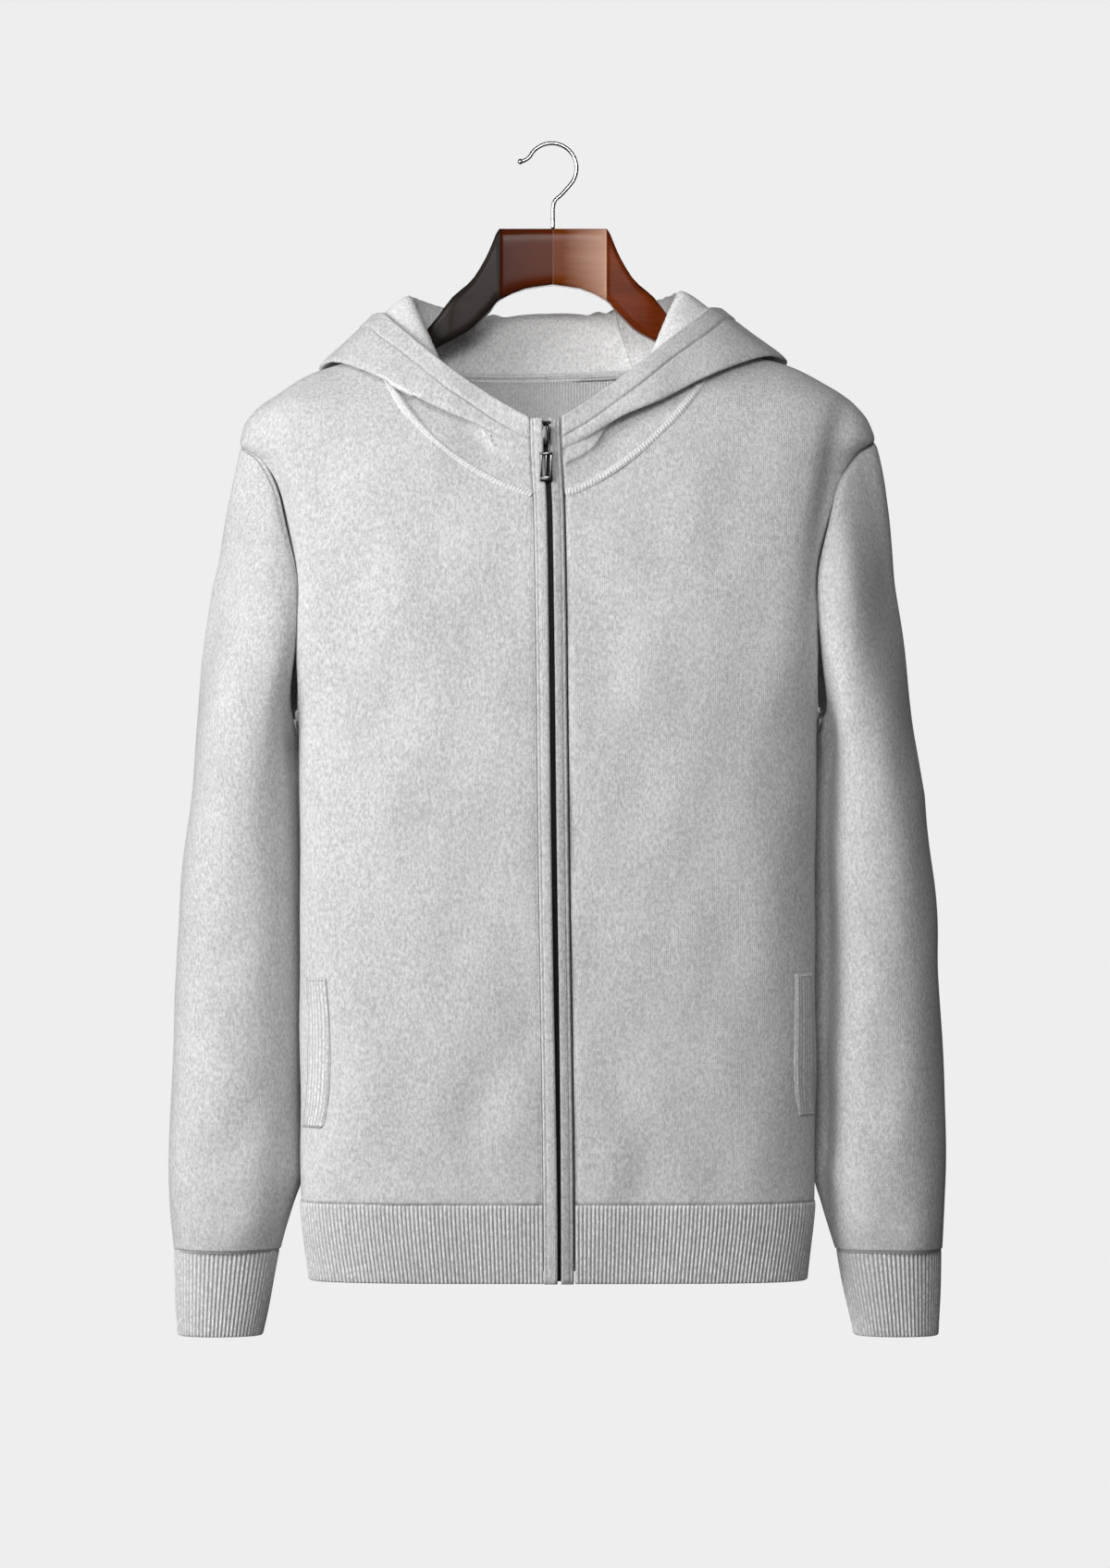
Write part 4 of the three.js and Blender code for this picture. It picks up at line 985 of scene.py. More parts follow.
def cuff_points(ribs=CUFF_RIBS, rows=24):
    turn = np.linspace(0, 2 * np.pi, ribs * len(rib_section) + 1)
    level = np.linspace(0, 1, rows + 1)
    width, depth = mix(76.5, 61.5, level), mix(60, 47, level)
    outer = mix(281.6, 279, level)
    z = CUFF_TOP - (CUFF_HEIGHT - 1.7) * level
    return np.array([oval_point(o, w, d, 0, turn, h) for o, w, d, h in zip(outer, width, depth, z)])


bare_cuff = cuff_points()
for side in ("left", "right"):
    points = hang(bare_cuff if side == "left" else mirrored(bare_cuff))
    rib_band(f"cuff_band_{side}", points, CUFF_RIBS, [f"cuff_{side}"], True, -1)

# %% [markdown]
# ## The hood
# Laid back, a hood is one long cloth that climbs from the neck seam to a ridge, turns outwards and
# down to a fold, and comes back up to the edge of the face opening. Each row below gives those
# places at one station round the neck, from the zip to the middle of the back: the station, the
# ridge, the fold, the edge, and how far out the cloth turns at the ridge and at the fold.

# %% Hood form
hood_rows = [
    (0, (11.6, -67, -239), (11.6, -66.4, -227), (11.6, -65, -205), 3, 3),
    (1, (34, -63, -228), (34, -65, -217), (30, -60, -194), 3, 3),
    (2, (53, -51, -197), (57, -64, -206), (50, -53, -180), 5, 4),
    (3, (67, -41, -173), (78, -60, -197), (69, -48, -166), 7, 6),
    (4, (77, -30, -156), (98, -54, -188), (87, -39, -151), 8, 7),
    (5, (85, -18, -138), (120, -47, -177), (101, -29, -139), 9, 8),
    (6, (92, -6, -121), (144, -33, -166), (112, -18, -130), 9, 9),
    (7, (97, 6, -109), (167, -12, -159.5), (121, -2, -122), 9, 10),
    (8, (96, 22, -108), (178, 15, -163), (128, 16, -121.5), 9, 11),
    (9, (80, 40, -112), (168, 62, -195), (132, 52, -126), 9, 14),
    (10, (53, 50, -117), (132, 98, -247), (110, 88, -136), 9, 22),
    (11.5, (26, 54, -118.5), (68, 116, -295), (58, 110, -148), 9, 30),
    (13, (0, 55, -118.5), (0, 120, -311), (0, 116, -153), 9, 34),
]
hood_at = [row[0] for row in hood_rows]
SHOULDER_STATION, MIDDLE_BACK = 7, 13.0


def hood_column(i):
    values = np.array([row[i] for row in hood_rows], float)
    if values.ndim == 1:
        return curve_through(hood_at, values)
    parts = [curve_through(hood_at, column) for column in values.T]
    return lambda at: np.stack([part(at) for part in parts], axis=-1)


hood_ridge, hood_fold, hood_edge, ridge_turn, fold_turn = (hood_column(i) for i in range(1, 6))
print("hood stations", len(hood_rows))


def neck_seam(at):
    """The neck seam and the outward direction of the cloth there, from the zip to the middle back."""
    share_front = np.clip(at / SHOULDER_STATION, 0, 1)
    share_back = np.clip((MIDDLE_BACK - at) / (MIDDLE_BACK - SHOULDER_STATION), 0, 1)
    cuts = {"front": neckline["front"](share_front), "back": neckline["back"](share_back)}
    places, normals = {}, {}
    for face, cut in cuts.items():
        sign = 1 if face == "front" else -1
        low = cut - np.array([0, 1.0])
        near = np.maximum(cut - np.array([1.0, 0]), 0)
        places[face] = on_form(face, cut[None])[0]
        along_u = on_form(face, (near + np.array([2.0, 0]))[None])[0] - on_form(face, near[None])[0]
        along_v = places[face] - on_form(face, low[None])[0]
        normals[face] = unit(sign * np.cross(along_u, along_v))
    front = (at <= SHOULDER_STATION)[:, None]
    return tuple(np.where(front, found["front"], found["back"]) for found in (places, normals))


def dense(line, n=260):
    """A smooth curve through each row of points, by rounded steps between neighbours."""
    before, after = 2 * line[:, :1] - line[:, 1:2], 2 * line[:, -1:] - line[:, -2:-1]
    padded = np.concatenate([before, line, after], axis=1)
    t = np.linspace(0, line.shape[1] - 1, n)
    i = np.minimum(t.astype(int), line.shape[1] - 2)
    f = (t - i)[None, :, None]
    p0, p1, p2, p3 = (padded[:, i + k] for k in range(4))
    return 0.5 * (
        2 * p1 + (p2 - p0) * f + (2 * p0 - 5 * p1 + 4 * p2 - p3) * f**2 + (3 * p1 - p0 - 3 * p2 + p3) * f**3
    )


def hood_lines(at):
    mirror = at > MIDDLE_BACK
    held = np.where(mirror, 2 * MIDDLE_BACK - at, at)
    seam, _ = neck_seam(held)
    ridge, fold, edge = hood_ridge(held), hood_fold(held), hood_edge(held)
    out = fold - ridge
    out[:, 2] = 0
    small = np.linalg.norm(out, axis=1) < 1
    out[small] = (0, -1, 0)
    out = unit(out)
    turn_r, turn_f = ridge_turn(held)[:, None], fold_turn(held)[:, None]
    over, back_over = ridge - out * turn_r / 3, ridge + out * turn_r * 2 / 3
    corners = [(over, 4), (back_over, 2), (fold - out * turn_f, 5), (fold, 2), (edge, 6)]
    line = [seam]
    for to, n in corners:
        start = line[-1]
        line += [mix(start, to, k / n) for k in range(1, n + 1)]
    line = np.stack(line, axis=1)
    for _ in range(2):
        line[:, 1:-1] = (2 * line[:, 1:-1] + line[:, :-2] + line[:, 2:]) / 4
    line[mirror, :, 0] *= -1
    return line


FACE_BAND = 14.0
near_seam = [0, 0.6, 1.4, 2.4, 3.6]
by_band = np.array([20, 18, 16.5, 15.6, 15, 14.5, 14, 13.5, 13, 12.4, 11, 9, 7, 5, 3.2, 1.8, 0.8, 0])


def hood_points(at, even_rows=58):
    """Rows of the hood from the neck seam to the face edge, closer together by the stitched band."""
    curves = dense(hood_lines(at))
    columns = []
    for line in curves:
        run = run_along(line)
        total = run[-1]
        far = np.concatenate([near_seam, np.linspace(5, max(6, total - 22), even_rows), total - by_band])
        columns.append(np.stack([np.interp(far, run, line[:, i]) for i in range(3)], axis=1))
    return np.stack(columns, axis=1)


hood_folds = [
    (1.0, 8, [(-66, -194), (-52, -204), (-38, -216), (-20, -229)]),
    (-1.5, 8, [(-84, -197), (-62, -211), (-46, -222), (-28, -236)]),
    (-1.6, 7, [(72, -197), (52, -206), (41, -214), (29, -223), (20, -234)]),
    (1.4, 6, [(76, -187), (50, -197), (32, -209), (20, -219)]),
    (1.2, 9, [(96, -200), (62, -222), (32, -240)]),
    (-1.0, 10, [(-150, -170), (-120, -180), (-90, -192)]),
    (-1.0, 10, [(150, -168), (120, -178), (90, -192)]),
]


def hood_piece(name, at, nodes, edges, flip=False):
    points = hood_points(at)
    points = hang(mirrored(points) if flip else points)
    from_edge = run_along(points[::-1])[::-1]
    groove = -1.1 * np.exp(-(((from_edge - FACE_BAND) / 0.9) ** 2))
    band = 0.7 * smooth_step(FACE_BAND - from_edge, 0, 1.5)
    points = dressed(points, hood_folds, edges, waves=0.5 if len(edges) == 3 else 1.2)
    points = points + normals_of(points) * (groove + band)[..., None]
    normals = normals_of(points)
    edge, normal = points[-1], normals[-1]
    along = unit(edge - points[-3])
    turned = [(1.1, 0.7), (1.3, 2.2), (0.6, 3.4), (-0.8, 3.9), (-4, 3.9), (-8, 3.9), (-12, 3.9)]
    rolled = [edge + along * on - normal * under for on, under in turned]
    whole = np.concatenate([points, np.array(rolled)])
    # The gusset's outer face and every hood piece's lining take the copy of the knit painted lighter: painted
    # light.
    outer = knit_hood_painted_light if name == "hood_gusset" else knit
    cloth_piece(name, whole, outer, nodes, thick=1.8, inside=knit_hood_painted_light)
    return points


side_at = np.concatenate([np.linspace(0, 9.9, 88), [9.95, 9.98, 10.0]])
centre_at = np.concatenate([[10, 10.02, 10.05], np.linspace(10.1, 15.9, 56), [15.95, 15.98, 16]])
hood_faces = [
    hood_piece("hood_side_left", side_at, ["hood_left"], ("bottom", "last")),
    hood_piece("hood_side_right", side_at, ["hood_right"], ("bottom", "first"), flip=True),
    hood_piece("hood_gusset", centre_at, ["hood_centre"], ("bottom", "first", "last")),
]

# %% [markdown]
# ## The plackets and the zip
# The cloth is folded back on itself along each side of the zip and stitched down near the fold's
# outer edge. Between the two folds lies the zip: a dark tape and a fine metal chain.


# %% Zip line
def zip_depth(z):
    """How far in front of the middle the zip lies at each height."""
    on_body = form_point(np.full_like(z, -1.53), np.minimum(z, FRONT_NECK_Z))[..., 1]
    foot = hood_points(np.array([0.0]))[0, 0]
    rise = (z - foot[2]) / (ZIP_TOP_Z - foot[2])
    return np.where(z <= foot[2], on_body, mix(foot[1], -65.0, rise))


def bar_points(section_at, low, high, rows):
    """A bar that follows the zip line. section_at(z) gives its outline as (across, behind) pairs."""
    heights = np.linspace(low, high, rows + 1)
    depth = zip_depth(heights)
    rings = []
    for z, y in zip(heights, depth):
        outline = np.array(section_at(z))
        ring = np.stack([outline[:, 0], y + outline[:, 1], np.full(len(outline), z)], axis=1)
        rings.append(np.concatenate([ring, ring[:1]]))
    return hang(np.array(rings))


def closed_bar(name, points, material, nodes=(), body=GARMENT):
    """A grid that meets itself round a bar, with both ends filled."""
    made = grid_object(name, points, cut_of(points), closed=True)
    work = bmesh.new()
    work.from_mesh(made.data)
    rims = [edge for edge in work.edges if edge.is_boundary]
    bmesh.ops.holes_fill(work, edges=rims, sides=0)
    bmesh.ops.recalc_face_normals(work, faces=work.faces)
    work.to_mesh(made.data)
    work.free()
    finish_piece(made, material, nodes, body)
    print(name, "faces", len(made.data.polygons))
    return made


def placket_section(z, sign):
    near = mix(1.3, 2.0, smooth_step(z, -830, -560))
    far = 11.3 if sign < 0 else 10.4
    shape = [
        (near, 2.4), (near, 0.3), (near + 0.25, -0.6), (near + 0.9, -1.15), (near + 2.2, -1.35),
        (far - 4.0, -1.35), (far - 2.9, -1.2), (far - 2.4, -0.75), (far - 1.9, -1.15), (far - 0.9, -1.2),
        (far - 0.3, -0.8), (far, 0.1), (far, 2.4),
    ]
    return [(sign * across, behind) for across, behind in shape]


for side, sign in (("left", 1), ("right", -1)):
    points = bar_points(lambda z: placket_section(z, sign), HEM_Z, ZIP_TOP_Z + 0.4, 150)
    points = points + soft_waves(points, 0.5, 5)[..., None] * np.array([0, 1.0, 0])
    # The left placket takes the copy of the knit painted darker: painted shade.
    cloth = knit_painted_shade if side == "left" else knit
    made = closed_bar(f"placket_fold_{side}", points, cloth, [f"placket_{side}"])
    size, area = flat_size(cut_of(points))

tape_section = [(-10.6, 3.6), (-10.6, 2.7), (10.6, 2.7), (10.6, 3.6)]
tape_points = bar_points(lambda z: tape_section, HEM_Z + 2, ZIP_TOP_Z - 2, 100)
closed_bar("zip_tape", tape_points, tape, ["zip"])

# %% [markdown]
# ## Zip chain
# Each tooth is a small block with softened edges, and the two rows lock half a pitch apart.

# %% Teeth
TOOTH_PITCH, CHAIN_LOW, CHAIN_TOP = 1.7, HEM_Z + 3, -226
TOOTH_SIZE = (2.1 * MM, 1.7 * MM, 0.8 * MM)
teeth = bmesh.new()
tooth_count = int((CHAIN_TOP - CHAIN_LOW) / TOOTH_PITCH * 2)
for i in range(tooth_count):
    z = CHAIN_LOW + i * TOOTH_PITCH / 2
    x = -0.75 if i % 2 else 0.75
    place = hang(np.array([[x, zip_depth(np.array([z]))[0] + 1.9, z]]))[0]
    made = bmesh.ops.create_cube(teeth, size=1)["verts"]
    bmesh.ops.scale(teeth, verts=made, vec=TOOTH_SIZE)
    bmesh.ops.translate(teeth, verts=made, vec=place * MM)
soften_edges(teeth, 0.18, 1)
finish_piece(object_from("zip_teeth", teeth, smooth=False), tooth_metal)
print("teeth", tooth_count)

# %% [markdown]
# ## Tubes
# The hook, the wire loops and the linked seams are all a small outline carried along a path. The
# path's own directions turn the outline, and the ends are drawn in to close them.


# %% Tubes
END_SHRINK = 0.55


def carried(path, across, up, outline):
    """One ring of points for each point of the path, each ending where it began."""
    rings = path[:, None] + across[:, None] * outline[..., :1] + up[:, None] * outline[..., 1:]
    return np.concatenate([rings, rings[:, :1]], axis=1)


def along_path(path, outline, ups, name, material, nodes=()):
    """Carries an outline of (side, up) pairs along a path in millimetres. ups point out of the cloth."""
    tangent = unit(np.gradient(path, axis=0))
    across = unit(np.cross(tangent, np.broadcast_to(ups, path.shape)))
    up = np.cross(across, tangent)
    rings = carried(path, across, up, outline)
    for end in (0, -1):
        rings[end] = mix(path[end], rings[end], END_SHRINK)
    closed_bar(name, rings, material, nodes)


def round_outline(radius, n=12, flat=1.0):
    turn = np.linspace(0, 2 * np.pi, n, endpoint=False)
    return np.stack([radius * np.cos(turn), radius * flat * np.sin(turn)], axis=1)


def resampled(path, step):
    """The path in even steps of about the given length, and how far along it each point lies."""
    run = run_along(path)
    n = max(2, int(round(run[-1] / step)))
    far = np.linspace(0, run[-1], n + 1)
    return np.stack([np.interp(far, run, path[:, i]) for i in range(path.shape[1])], axis=1), far


# %% [markdown]
# ## The linked neck seam
# The hood is joined to the body with a raised, linked seam: a strip five millimetres wide whose
# loops cross it on the slant. It is the lightest line on the chest.

# %% Neck link
def link_strip(name, at, sign, height=1.5, half=2.7, inside=False):
    seam, normals = neck_seam(at)
    seam, normals = seam * (sign, 1, 1), normals * (sign, 1, 1)
    both, far = resampled(np.concatenate([hang(seam), normals], axis=1), 0.62)
    path, ups = both[:, :3], unit(both[:, 3:])
    if inside:
        path, ups = path - ups * (CLOTH + 0.2), -ups
    path = path - ups * 0.9
    turn = np.linspace(0, np.pi, 9)
    side, up = half * np.cos(turn), height * np.sin(turn) ** 0.7
    slant = np.sin(2 * np.pi * (far[:, None] / 2.5 + side[None, :] / 7.0))
    tall = up[None, :] * (1 + 0.3 * slant) + 0.5
    top = np.stack([np.broadcast_to(side, tall.shape), tall], axis=-1)
    low = np.broadcast_to(np.array([(-half, -0.9), (half, -0.9)]), (len(path), 2, 2))
    outline = np.concatenate([top, low], axis=1)[:, ::-1]
    along_path(path, outline, ups, name, link_knit)


front_share = np.linspace(0.02, 7, 120)
back_share = np.linspace(7, 13, 80)
for side, sign in (("left", 1), ("right", -1)):
    link_strip(f"neck_link_{side}", np.concatenate([front_share, back_share[1:]]), sign)
    link_strip(f"neck_link_inside_{side}", np.linspace(4, 13, 140), sign, height=0.8, half=3.4, inside=True)

# %% [markdown]
# ## Seam allowances
# Behind every seam the two cut edges are overlocked into one narrow ridge. It lies inside, closes
# the line between the panels, and is what makes a seam read as a line and not as a slit.

# %% Seam allowances
allowance = np.array([(3.2, -1.2), (2.6, -0.1), (0, 0.25), (-2.6, -0.1), (-3.2, -1.2), (0, -2.2)])
for name, (line, ups) in sewn_lines.items():
    both, _ = resampled(np.concatenate([line, ups], axis=1), 3.0)
    ups = unit(both[:, 3:])
    along_path(both[:, :3] - ups * 1.3, allowance, ups, name, knit)

# %% [markdown]
# ## Rows of stitches
# A stitch is a short length of thread that dips at both ends, so a slim closed shape is enough for
# each one, and a row is the same shape set down along a path.


# %% Stitches
def stitch_row(name, paths, length=2.4, gap=1.0, radius=0.3, slant=0.0):
    work = bmesh.new()
    count = 0
    for path, ups in paths:
        both, _ = resampled(np.concatenate([path, np.broadcast_to(ups, path.shape)], axis=1), length + gap)
        points, up = both[:, :3], both[:, 3:]
        for i in range(len(points) - 1):
            along = unit(points[i + 1] - points[i])
            out = unit(up[i] - along * (up[i] @ along))
            side = np.cross(along, out)
            lean = -slant if i % 2 else slant
            way = along * math.cos(lean) + side * math.sin(lean)
            cross = np.cross(way, out)
            place = mix(points[i], points[i + 1], 0.5) + out * (radius * 0.35)
            made = bmesh.ops.create_icosphere(work, subdivisions=1, radius=1)["verts"]
            for vert in made:
                x, y, z = vert.co
                vert.co = (place + way * (x * length / 2) + cross * (y * radius) + out * (z * radius)) * MM
            count += 1
    finish_piece(object_from(name, work), thread)
    print(name, "stitches", count)


def row_line(points, distance):
    """The line that runs a fixed way in from the last row of a grid, with the cloth's directions."""
    from_edge = run_along(points[::-1, points.shape[1] // 2])
    row = len(points) - 1 - int(np.argmin(np.abs(from_edge - distance)))
    return points[row], normals_of(points)[row]


hood_rows_sewn = [row_line(face, FACE_BAND) for face in hood_faces]
stitch_row("hood_band_stitches", [(path + up * 0.1, up) for path, up in hood_rows_sewn], 2.6, 0.9, 0.28)

# %% [markdown]
# ## Pocket welts
# Each front pocket opens at a narrow upright welt by the side seam. The welt is a strip of the same
# cloth, a little proud, held at its top and bottom by a short zigzag of stitches.


# %% Pockets
def front_at(x, z):
    """The outer face of a hung front panel where it is seen at (x, z)."""
    bare_x = x - mix(zip_drift(z), side_drift(z), smooth_step(np.abs(x), 0, SIDE_X))
    sign = np.sign(bare_x)
    bare_z = z - tilt(z) * np.tanh(x / 90)
    across = across_at_x("front", np.abs(bare_x).ravel(), bare_z.ravel()).reshape(x.shape)
    points = on_form("front", np.stack([across, bare_z], axis=-1))
    points[..., 0] *= sign
    return hang(points)


def welt_piece(side, left_edge, right_edge, low, high):
    """The welt's two edges are curves of x by height, as it is seen from the front."""
    z = np.linspace(low, high, 56)[:, None]
    share = np.linspace(0, 1, 15)[None, :]
    x = mix(left_edge(z), right_edge(z), share)
    z = z + 0 * share
    points = front_at(x, z)
    relief = fold_relief(points, front_folds) + soft_waves(points, 1.6)
    normals = normals_of(points)
    points = points + normals * relief[..., None]
    in_u = np.minimum(share, 1 - share) * np.abs(right_edge(z) - left_edge(z))
    in_v = np.minimum(z - low, high - z)
    nearest = np.minimum(in_u, in_v)
    height = 0.25 + 1.0 * smooth_step(nearest, -0.4, 3.4) - 0.4 * np.exp(-(((nearest - 4.6) / 0.9) ** 2))
    points = points + normals * height[..., None]
    name, nodes, on = f"welt_{side}", [f"pocket_welt_{side}"], [f"front_{side}"]
    cloth_piece(name, points, rib_knit, nodes, thick=1.3)
    ends = [(points[row] + normals[row] * 0.2, normals[row]) for row in (1, -2)]
    inner = 12 if side == "right" else 2
    long_line = (points[2:-2, inner] + normals[2:-2, inner] * 0.1, normals[2:-2, inner])
    return ends, long_line


welt_edges = {
    "right": (
        curve_through([-720, -699, -666, -640, -612], [-183, -180.5, -178.5, -177.5, -179.5]),
        curve_through([-720, -717, -692, -653, -616, -610], [-168.5, -166.3, -162.6, -161.2, -163.4, -164]),
        -719.5,
        -610,
    ),
    "left": (
        curve_through([-712, -706, -695, -667, -611], [180, 178.2, 176.1, 174.7, 175.1]),
        curve_through([-712, -696, -676, -650, -607], [190.2, 190.0, 189.4, 189.2, 188.6]),
        -711,
        -607,
    ),
}
bartacks, welt_lines = [], []
for side in ("left", "right"):
    ends, line = welt_piece(side, *welt_edges[side])
    bartacks += ends
    welt_lines.append(line)
stitch_row("pocket_bartacks", bartacks, 2.0, 0.1, 0.34, slant=0.75)
stitch_row("pocket_stitches", welt_lines, 2.3, 1.0, 0.24)

# %% [markdown]
# ## The hanger
# Two arms of stained wood meet in the middle. The middle is a flat block with an arched underside,
# and a sharp crease on each side where the arm turns down and back. Under the cloth the arms swell
# to carry the shoulders, and stay just inside the cloth. Each row is a distance from the middle,
# the height of the top and of the underside there, and half the thickness.

# %% Hanger arms
UNDER_CLOTH = 4.5
hanger_rows = [
    (0, -62, -103, 11), (20, -62, -106, 11), (38.2, -62, -114, 11.3), (39, -62, -114.5, 11.9),
    (41.5, -65, -116.5, 11.5), (46, -76, -122, 11.5), (52, -88, -128, 11.5), (60, -100, -136, 11.5),
    (74, -112, -144, 11), (84, -125, -149, 8), (94, -137, -156, 6.5), (108, -152, -168, 5.5),
    (119, -157.5, -175, 5.5), (130, -154, -182, 10), (145, -156, -192, 17), (165, -160, -204, 20),
    (185, -166, -216, 21), (203, -172, -226, 20), (209, -178, -230, 16), (213.5, -192, -228, 8),
]
hanger_top, hanger_bottom, hanger_half = table_curves(hanger_rows)
arm_places = [0.03, 0.2, 0.5, 10, 20, 30, 36, 38, 38.6, 39, 39.4, 40, 41, 42, 44, 47, 50, 54, 58, 63, 68]
arm_places += [74, 79, 84, 89, 94, 99, 104, *np.arange(108, 205, 4), 206, 208, 210, 212, 213.2]
shoulder_rise = np.array(body_rows)[:6]


def hanger_arm(side, sign, material):
    turn = np.linspace(0, 2 * np.pi, 57)
    c, s = np.cos(turn), np.sin(turn)
    rings = []
    for x in arm_places:
        top, bottom, half = hanger_top(x), hanger_bottom(x), hanger_half(x)
        covered = x > HALF_NECK
        if covered:
            ridge = np.interp(x, shoulder_rise[:, 1], NECK_Z - shoulder_rise[:, 0])
            top = min(top, ridge - CLOTH - 2.5)
        power = 9 if x < 40 else mix(9, 3.2, smooth_step(x, 40, 100))
        r = (np.abs(c) ** power + np.abs(s) ** power) ** (-1 / power)
        z = (top + bottom) / 2 + (top - bottom) / 2 * r * s
        y = half * r * c
        if covered:
            size = [curve(np.maximum(0.5, NECK_Z - z)) for curve in body_curves]
            share = np.clip(1 - (x / size[0]) ** size[3], 0.0, 1) ** (1 / size[3])
            room = [np.maximum(0.4, reach * share - UNDER_CLOTH) for reach in size[1:3]]
            y = np.clip(y, -room[0], room[1])
        rings.append(np.stack([np.full_like(z, sign * x), y, z], axis=1))
    closed_bar(f"hanger_wood_{side}", np.array(rings), material, [f"hanger_arm_{side}"])


for side, sign, material in (("left", 1, wood_left), ("right", -1, wood_right)):
    hanger_arm(side, sign, material)

# %% [markdown]
# ## The hook
# Three millimetres of chromed wire: a round bend, a small ball on the tip and a straight stem that
# is let into the wood.

# %% Hook
WIRE_RADIUS, BEND_RADIUS, BALL_RADIUS = 1.5, 18.3, 2.1
hook_spots = [(-24, -12), (-21.5, -11.4)]
for degrees in range(154, -43, -14):
    turn = math.radians(degrees)
    hook_spots.append((-1 + BEND_RADIUS * math.cos(turn), -16.8 + BEND_RADIUS * math.sin(turn)))
hook_spots += [(6.5, -36), (1.6, -40.5), (0, -46), (0, -54), (0, -61.7)]
hook_line = np.array([[(x, 0, z) for x, z in hook_spots]], float)
hook_path, _ = resampled(dense(hook_line, 400)[0], 0.9)
wire = round_outline(WIRE_RADIUS, 16)
along_path(hook_path, wire, (0, 1, 0), "hook_wire", chrome, ["hanger_hook"])
ball = bmesh.new()
bmesh.ops.create_uvsphere(ball, u_segments=24, v_segments=14, radius=BALL_RADIUS * MM)
bmesh.ops.translate(ball, verts=ball.verts, vec=(hook_spots[0][0] * MM, 0, hook_spots[0][1] * MM))
finish_piece(object_from("hook_ball", ball), chrome)
print("hook path", len(hook_path), "points")

# %% [markdown]
# ## Slider and pull
# The slider is a rounded plate with a wire bail standing off it. The pull hangs from the bail by a
# long link and is a narrow frame with a bar across its foot. Only the pull moves.


# %% Slider and pull
def soft_block(work, size, place, soften, segments):
    part = bmesh.new()
    bmesh.ops.create_cube(part, size=1)
    bmesh.ops.scale(part, verts=part.verts, vec=[s * MM for s in size])
    soften_edges(part, soften, segments)
    bmesh.ops.translate(part, verts=part.verts, vec=[p * MM for p in place])
    piece = bpy.data.meshes.new("part")
    part.to_mesh(piece)
    part.free()
    work.from_mesh(piece)
    bpy.data.meshes.remove(piece)


def block_piece(name, blocks, material, nodes=(), body=GARMENT):
    work = bmesh.new()
    for block in blocks:
        soft_block(work, *block)
    finish_piece(object_from(name, work), material, nodes, body)


SLIDER_X, SLIDER_Z, PULL_AXIS_Y = -5.0, -218.0, -70.45
slider_blocks = [
    ((6.6, 1.7, 12.0), (SLIDER_X, -68.35, SLIDER_Z), 0.8, 3),
    ((4.6, 1.9, 14.2), (SLIDER_X, -68.45, SLIDER_Z + 0.6), 0.9, 3),
    ((2.6, 2.2, 9.0), (SLIDER_X, -66.6, SLIDER_Z), 0.3, 1),
]
block_piece("slider_body", slider_blocks, black_nickel, ["zip_slider"])
bail_spots = [
    (-68.6, -212.3), (-70.6, -211.9), (-72.1, -213.2), (-72.4, -216),
    (-72.4, -220), (-72.0, -222.4), (-70.4, -223.4), (-68.6, -223.0),
]
bail_line = dense(np.array([[(SLIDER_X, y, z) for y, z in bail_spots]], float), 60)[0]
along_path(bail_line, round_outline(1.2, 12, 0.55), (1, 0, 0), "slider_bail", black_nickel)


def loop_path(half_width, half_height, x, y, z, corner, n=72):
    """A rounded upright rectangle, as a path that closes on itself."""
    turn = np.linspace(0, 2 * np.pi, n + 1)
    cx, cz = half_width - corner, half_height - corner
    across = np.cos(turn) * corner + np.sign(np.round(np.cos(turn), 6)) * cx
    up = np.sin(turn) * corner + np.sign(np.round(np.sin(turn), 6)) * cz
    return np.stack([x + across, np.full_like(turn, y), z + up], axis=1)


def ring_piece(name, path, outline, material, body):
    """A wire loop: the tube's last ring is its first, so it closes with no ends."""
    path = path[:-1]
    tangent = unit(np.roll(path, -1, axis=0) - np.roll(path, 1, axis=0))
    up = np.broadcast_to(np.array([0, -1.0, 0]), path.shape)
    rings = carried(path, np.cross(tangent, up), up, outline)
    closed_bar(name, np.concatenate([rings, rings[:1]]), material, body=body)


link = loop_path(2.2, 5.6, SLIDER_X, PULL_AXIS_Y, -225.0, 2.1)
ring_piece("pull_link", link, round_outline(0.62, 10), black_nickel, PULL)
frame_blocks = [((2.0, 1.4, 21.0), (SLIDER_X + x, PULL_AXIS_Y, -240.6), 0.35, 2) for x in (-3.6, 3.6)]
frame_blocks += [
    ((9.2, 1.5, 2.2), (SLIDER_X, PULL_AXIS_Y, -231.0), 0.4, 2),
    ((9.3, 1.5, 4.0), (SLIDER_X, PULL_AXIS_Y, -249.0), 0.45, 2),
    ((1.3, 1.0, 17.0), (SLIDER_X, PULL_AXIS_Y, -239.5), 0.3, 2),
]
block_piece("pull_frame", frame_blocks, black_nickel, ["zip_pull"], PULL)
top_stops = [((2.6, 1.6, 2.2), (SLIDER_X + x, -66.6, -208.2), 0.5, 2) for x in (-1.9, 1.9)]
block_piece("zip_top_stops", top_stops, tooth_metal)

# %% [markdown]
# ## Studio
# The photograph has no floor or shadow to see: the garment hangs before one even pale tone, lit by a
# broad soft light on the viewer's left, with a weaker one in front. So the backdrop glows evenly and
# is seen only by the camera. The light on the cloth comes from large area lights and a dim sky, a
# small one reaches into the neck, and the one behind serves views of the back.

# %% Backdrop and floor
PALE = grey(238)


def stage_piece(name, work):
    made = object_from(name, work, smooth=False)
    made.data.materials.append(backdrop_material)
    for way in ("visible_diffuse", "visible_glossy", "visible_transmission", "visible_shadow"):
        setattr(made, way, False)


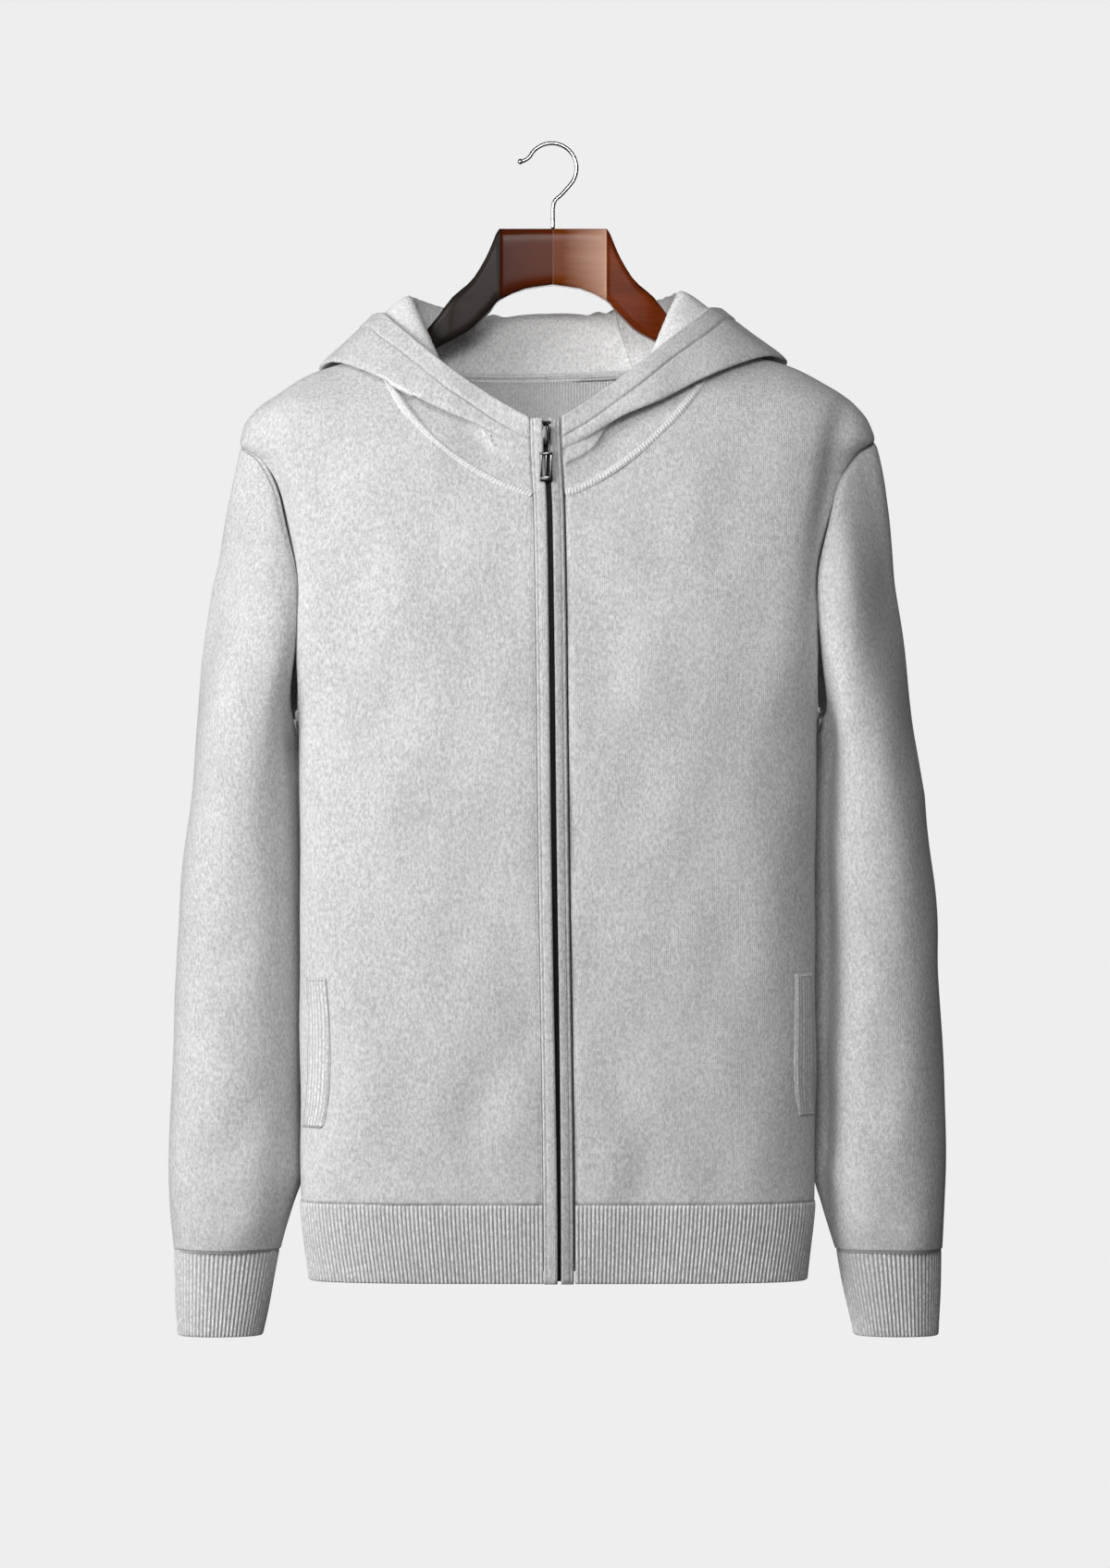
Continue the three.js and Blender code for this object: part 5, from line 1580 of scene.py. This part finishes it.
backdrop = Finish("backdrop", Base_Color=(0, 0, 0, 1), Roughness=1.0, Specular_IOR_Level=0.0)
backdrop.surface.inputs["Emission Color"].default_value = PALE
backdrop.surface.inputs["Emission Strength"].default_value = 1.0
backdrop_material = backdrop.material
dome = bmesh.new()
bmesh.ops.create_uvsphere(dome, u_segments=48, v_segments=24, radius=14)
bmesh.ops.reverse_faces(dome, faces=dome.faces)
stage_piece("backdrop_dome", dome)
floor = bmesh.new()
bmesh.ops.create_grid(floor, x_segments=1, y_segments=1, size=3.0)
bmesh.ops.translate(floor, verts=floor.verts, vec=(0, 0, -1.25))
stage_piece("floor", floor)

# %% Lights
world = bpy.data.worlds.new("studio")
world.use_nodes = True
world.node_tree.nodes["Background"].inputs["Color"].default_value = (1, 1, 1, 1)
world.node_tree.nodes["Background"].inputs["Strength"].default_value = 0.06
bpy.context.scene.world = world


def soft_light(name, place, target, size, power):
    data = bpy.data.lights.new(name, "AREA")
    data.shape = "RECTANGLE"
    data.size, data.size_y = size
    data.energy = power
    light = bpy.data.objects.new(name, data)
    light.location = place
    light.rotation_euler = (Vector(target) - Vector(place)).to_track_quat("-Z", "Y").to_euler()
    bpy.context.collection.objects.link(light)
    print(name, power, "W")


MIDDLE, NECK = (0, 0, -0.45), (0, 0.05, -0.17)
soft_light("key_left", (-2.4, -1.5, 0.0), MIDDLE, (1.4, 2.2), 66)
soft_light("fill_left", (-2.3, -2.9, 0.1), MIDDLE, (1.6, 1.8), 32)
soft_light("front", (-0.6, -3.9, 0.3), MIDDLE, (1.4, 1.4), 24)
soft_light("behind", (0.5, 3.6, 0.2), MIDDLE, (2.0, 2.0), 45)
soft_light("neck", (0.0, -1.3, 0.25), NECK, (0.3, 0.3), 5.5)

scene = bpy.context.scene
scene.view_settings.view_transform = "Standard"
scene.view_settings.look = "None"
scene.view_settings.exposure = 0
scene.view_settings.gamma = 1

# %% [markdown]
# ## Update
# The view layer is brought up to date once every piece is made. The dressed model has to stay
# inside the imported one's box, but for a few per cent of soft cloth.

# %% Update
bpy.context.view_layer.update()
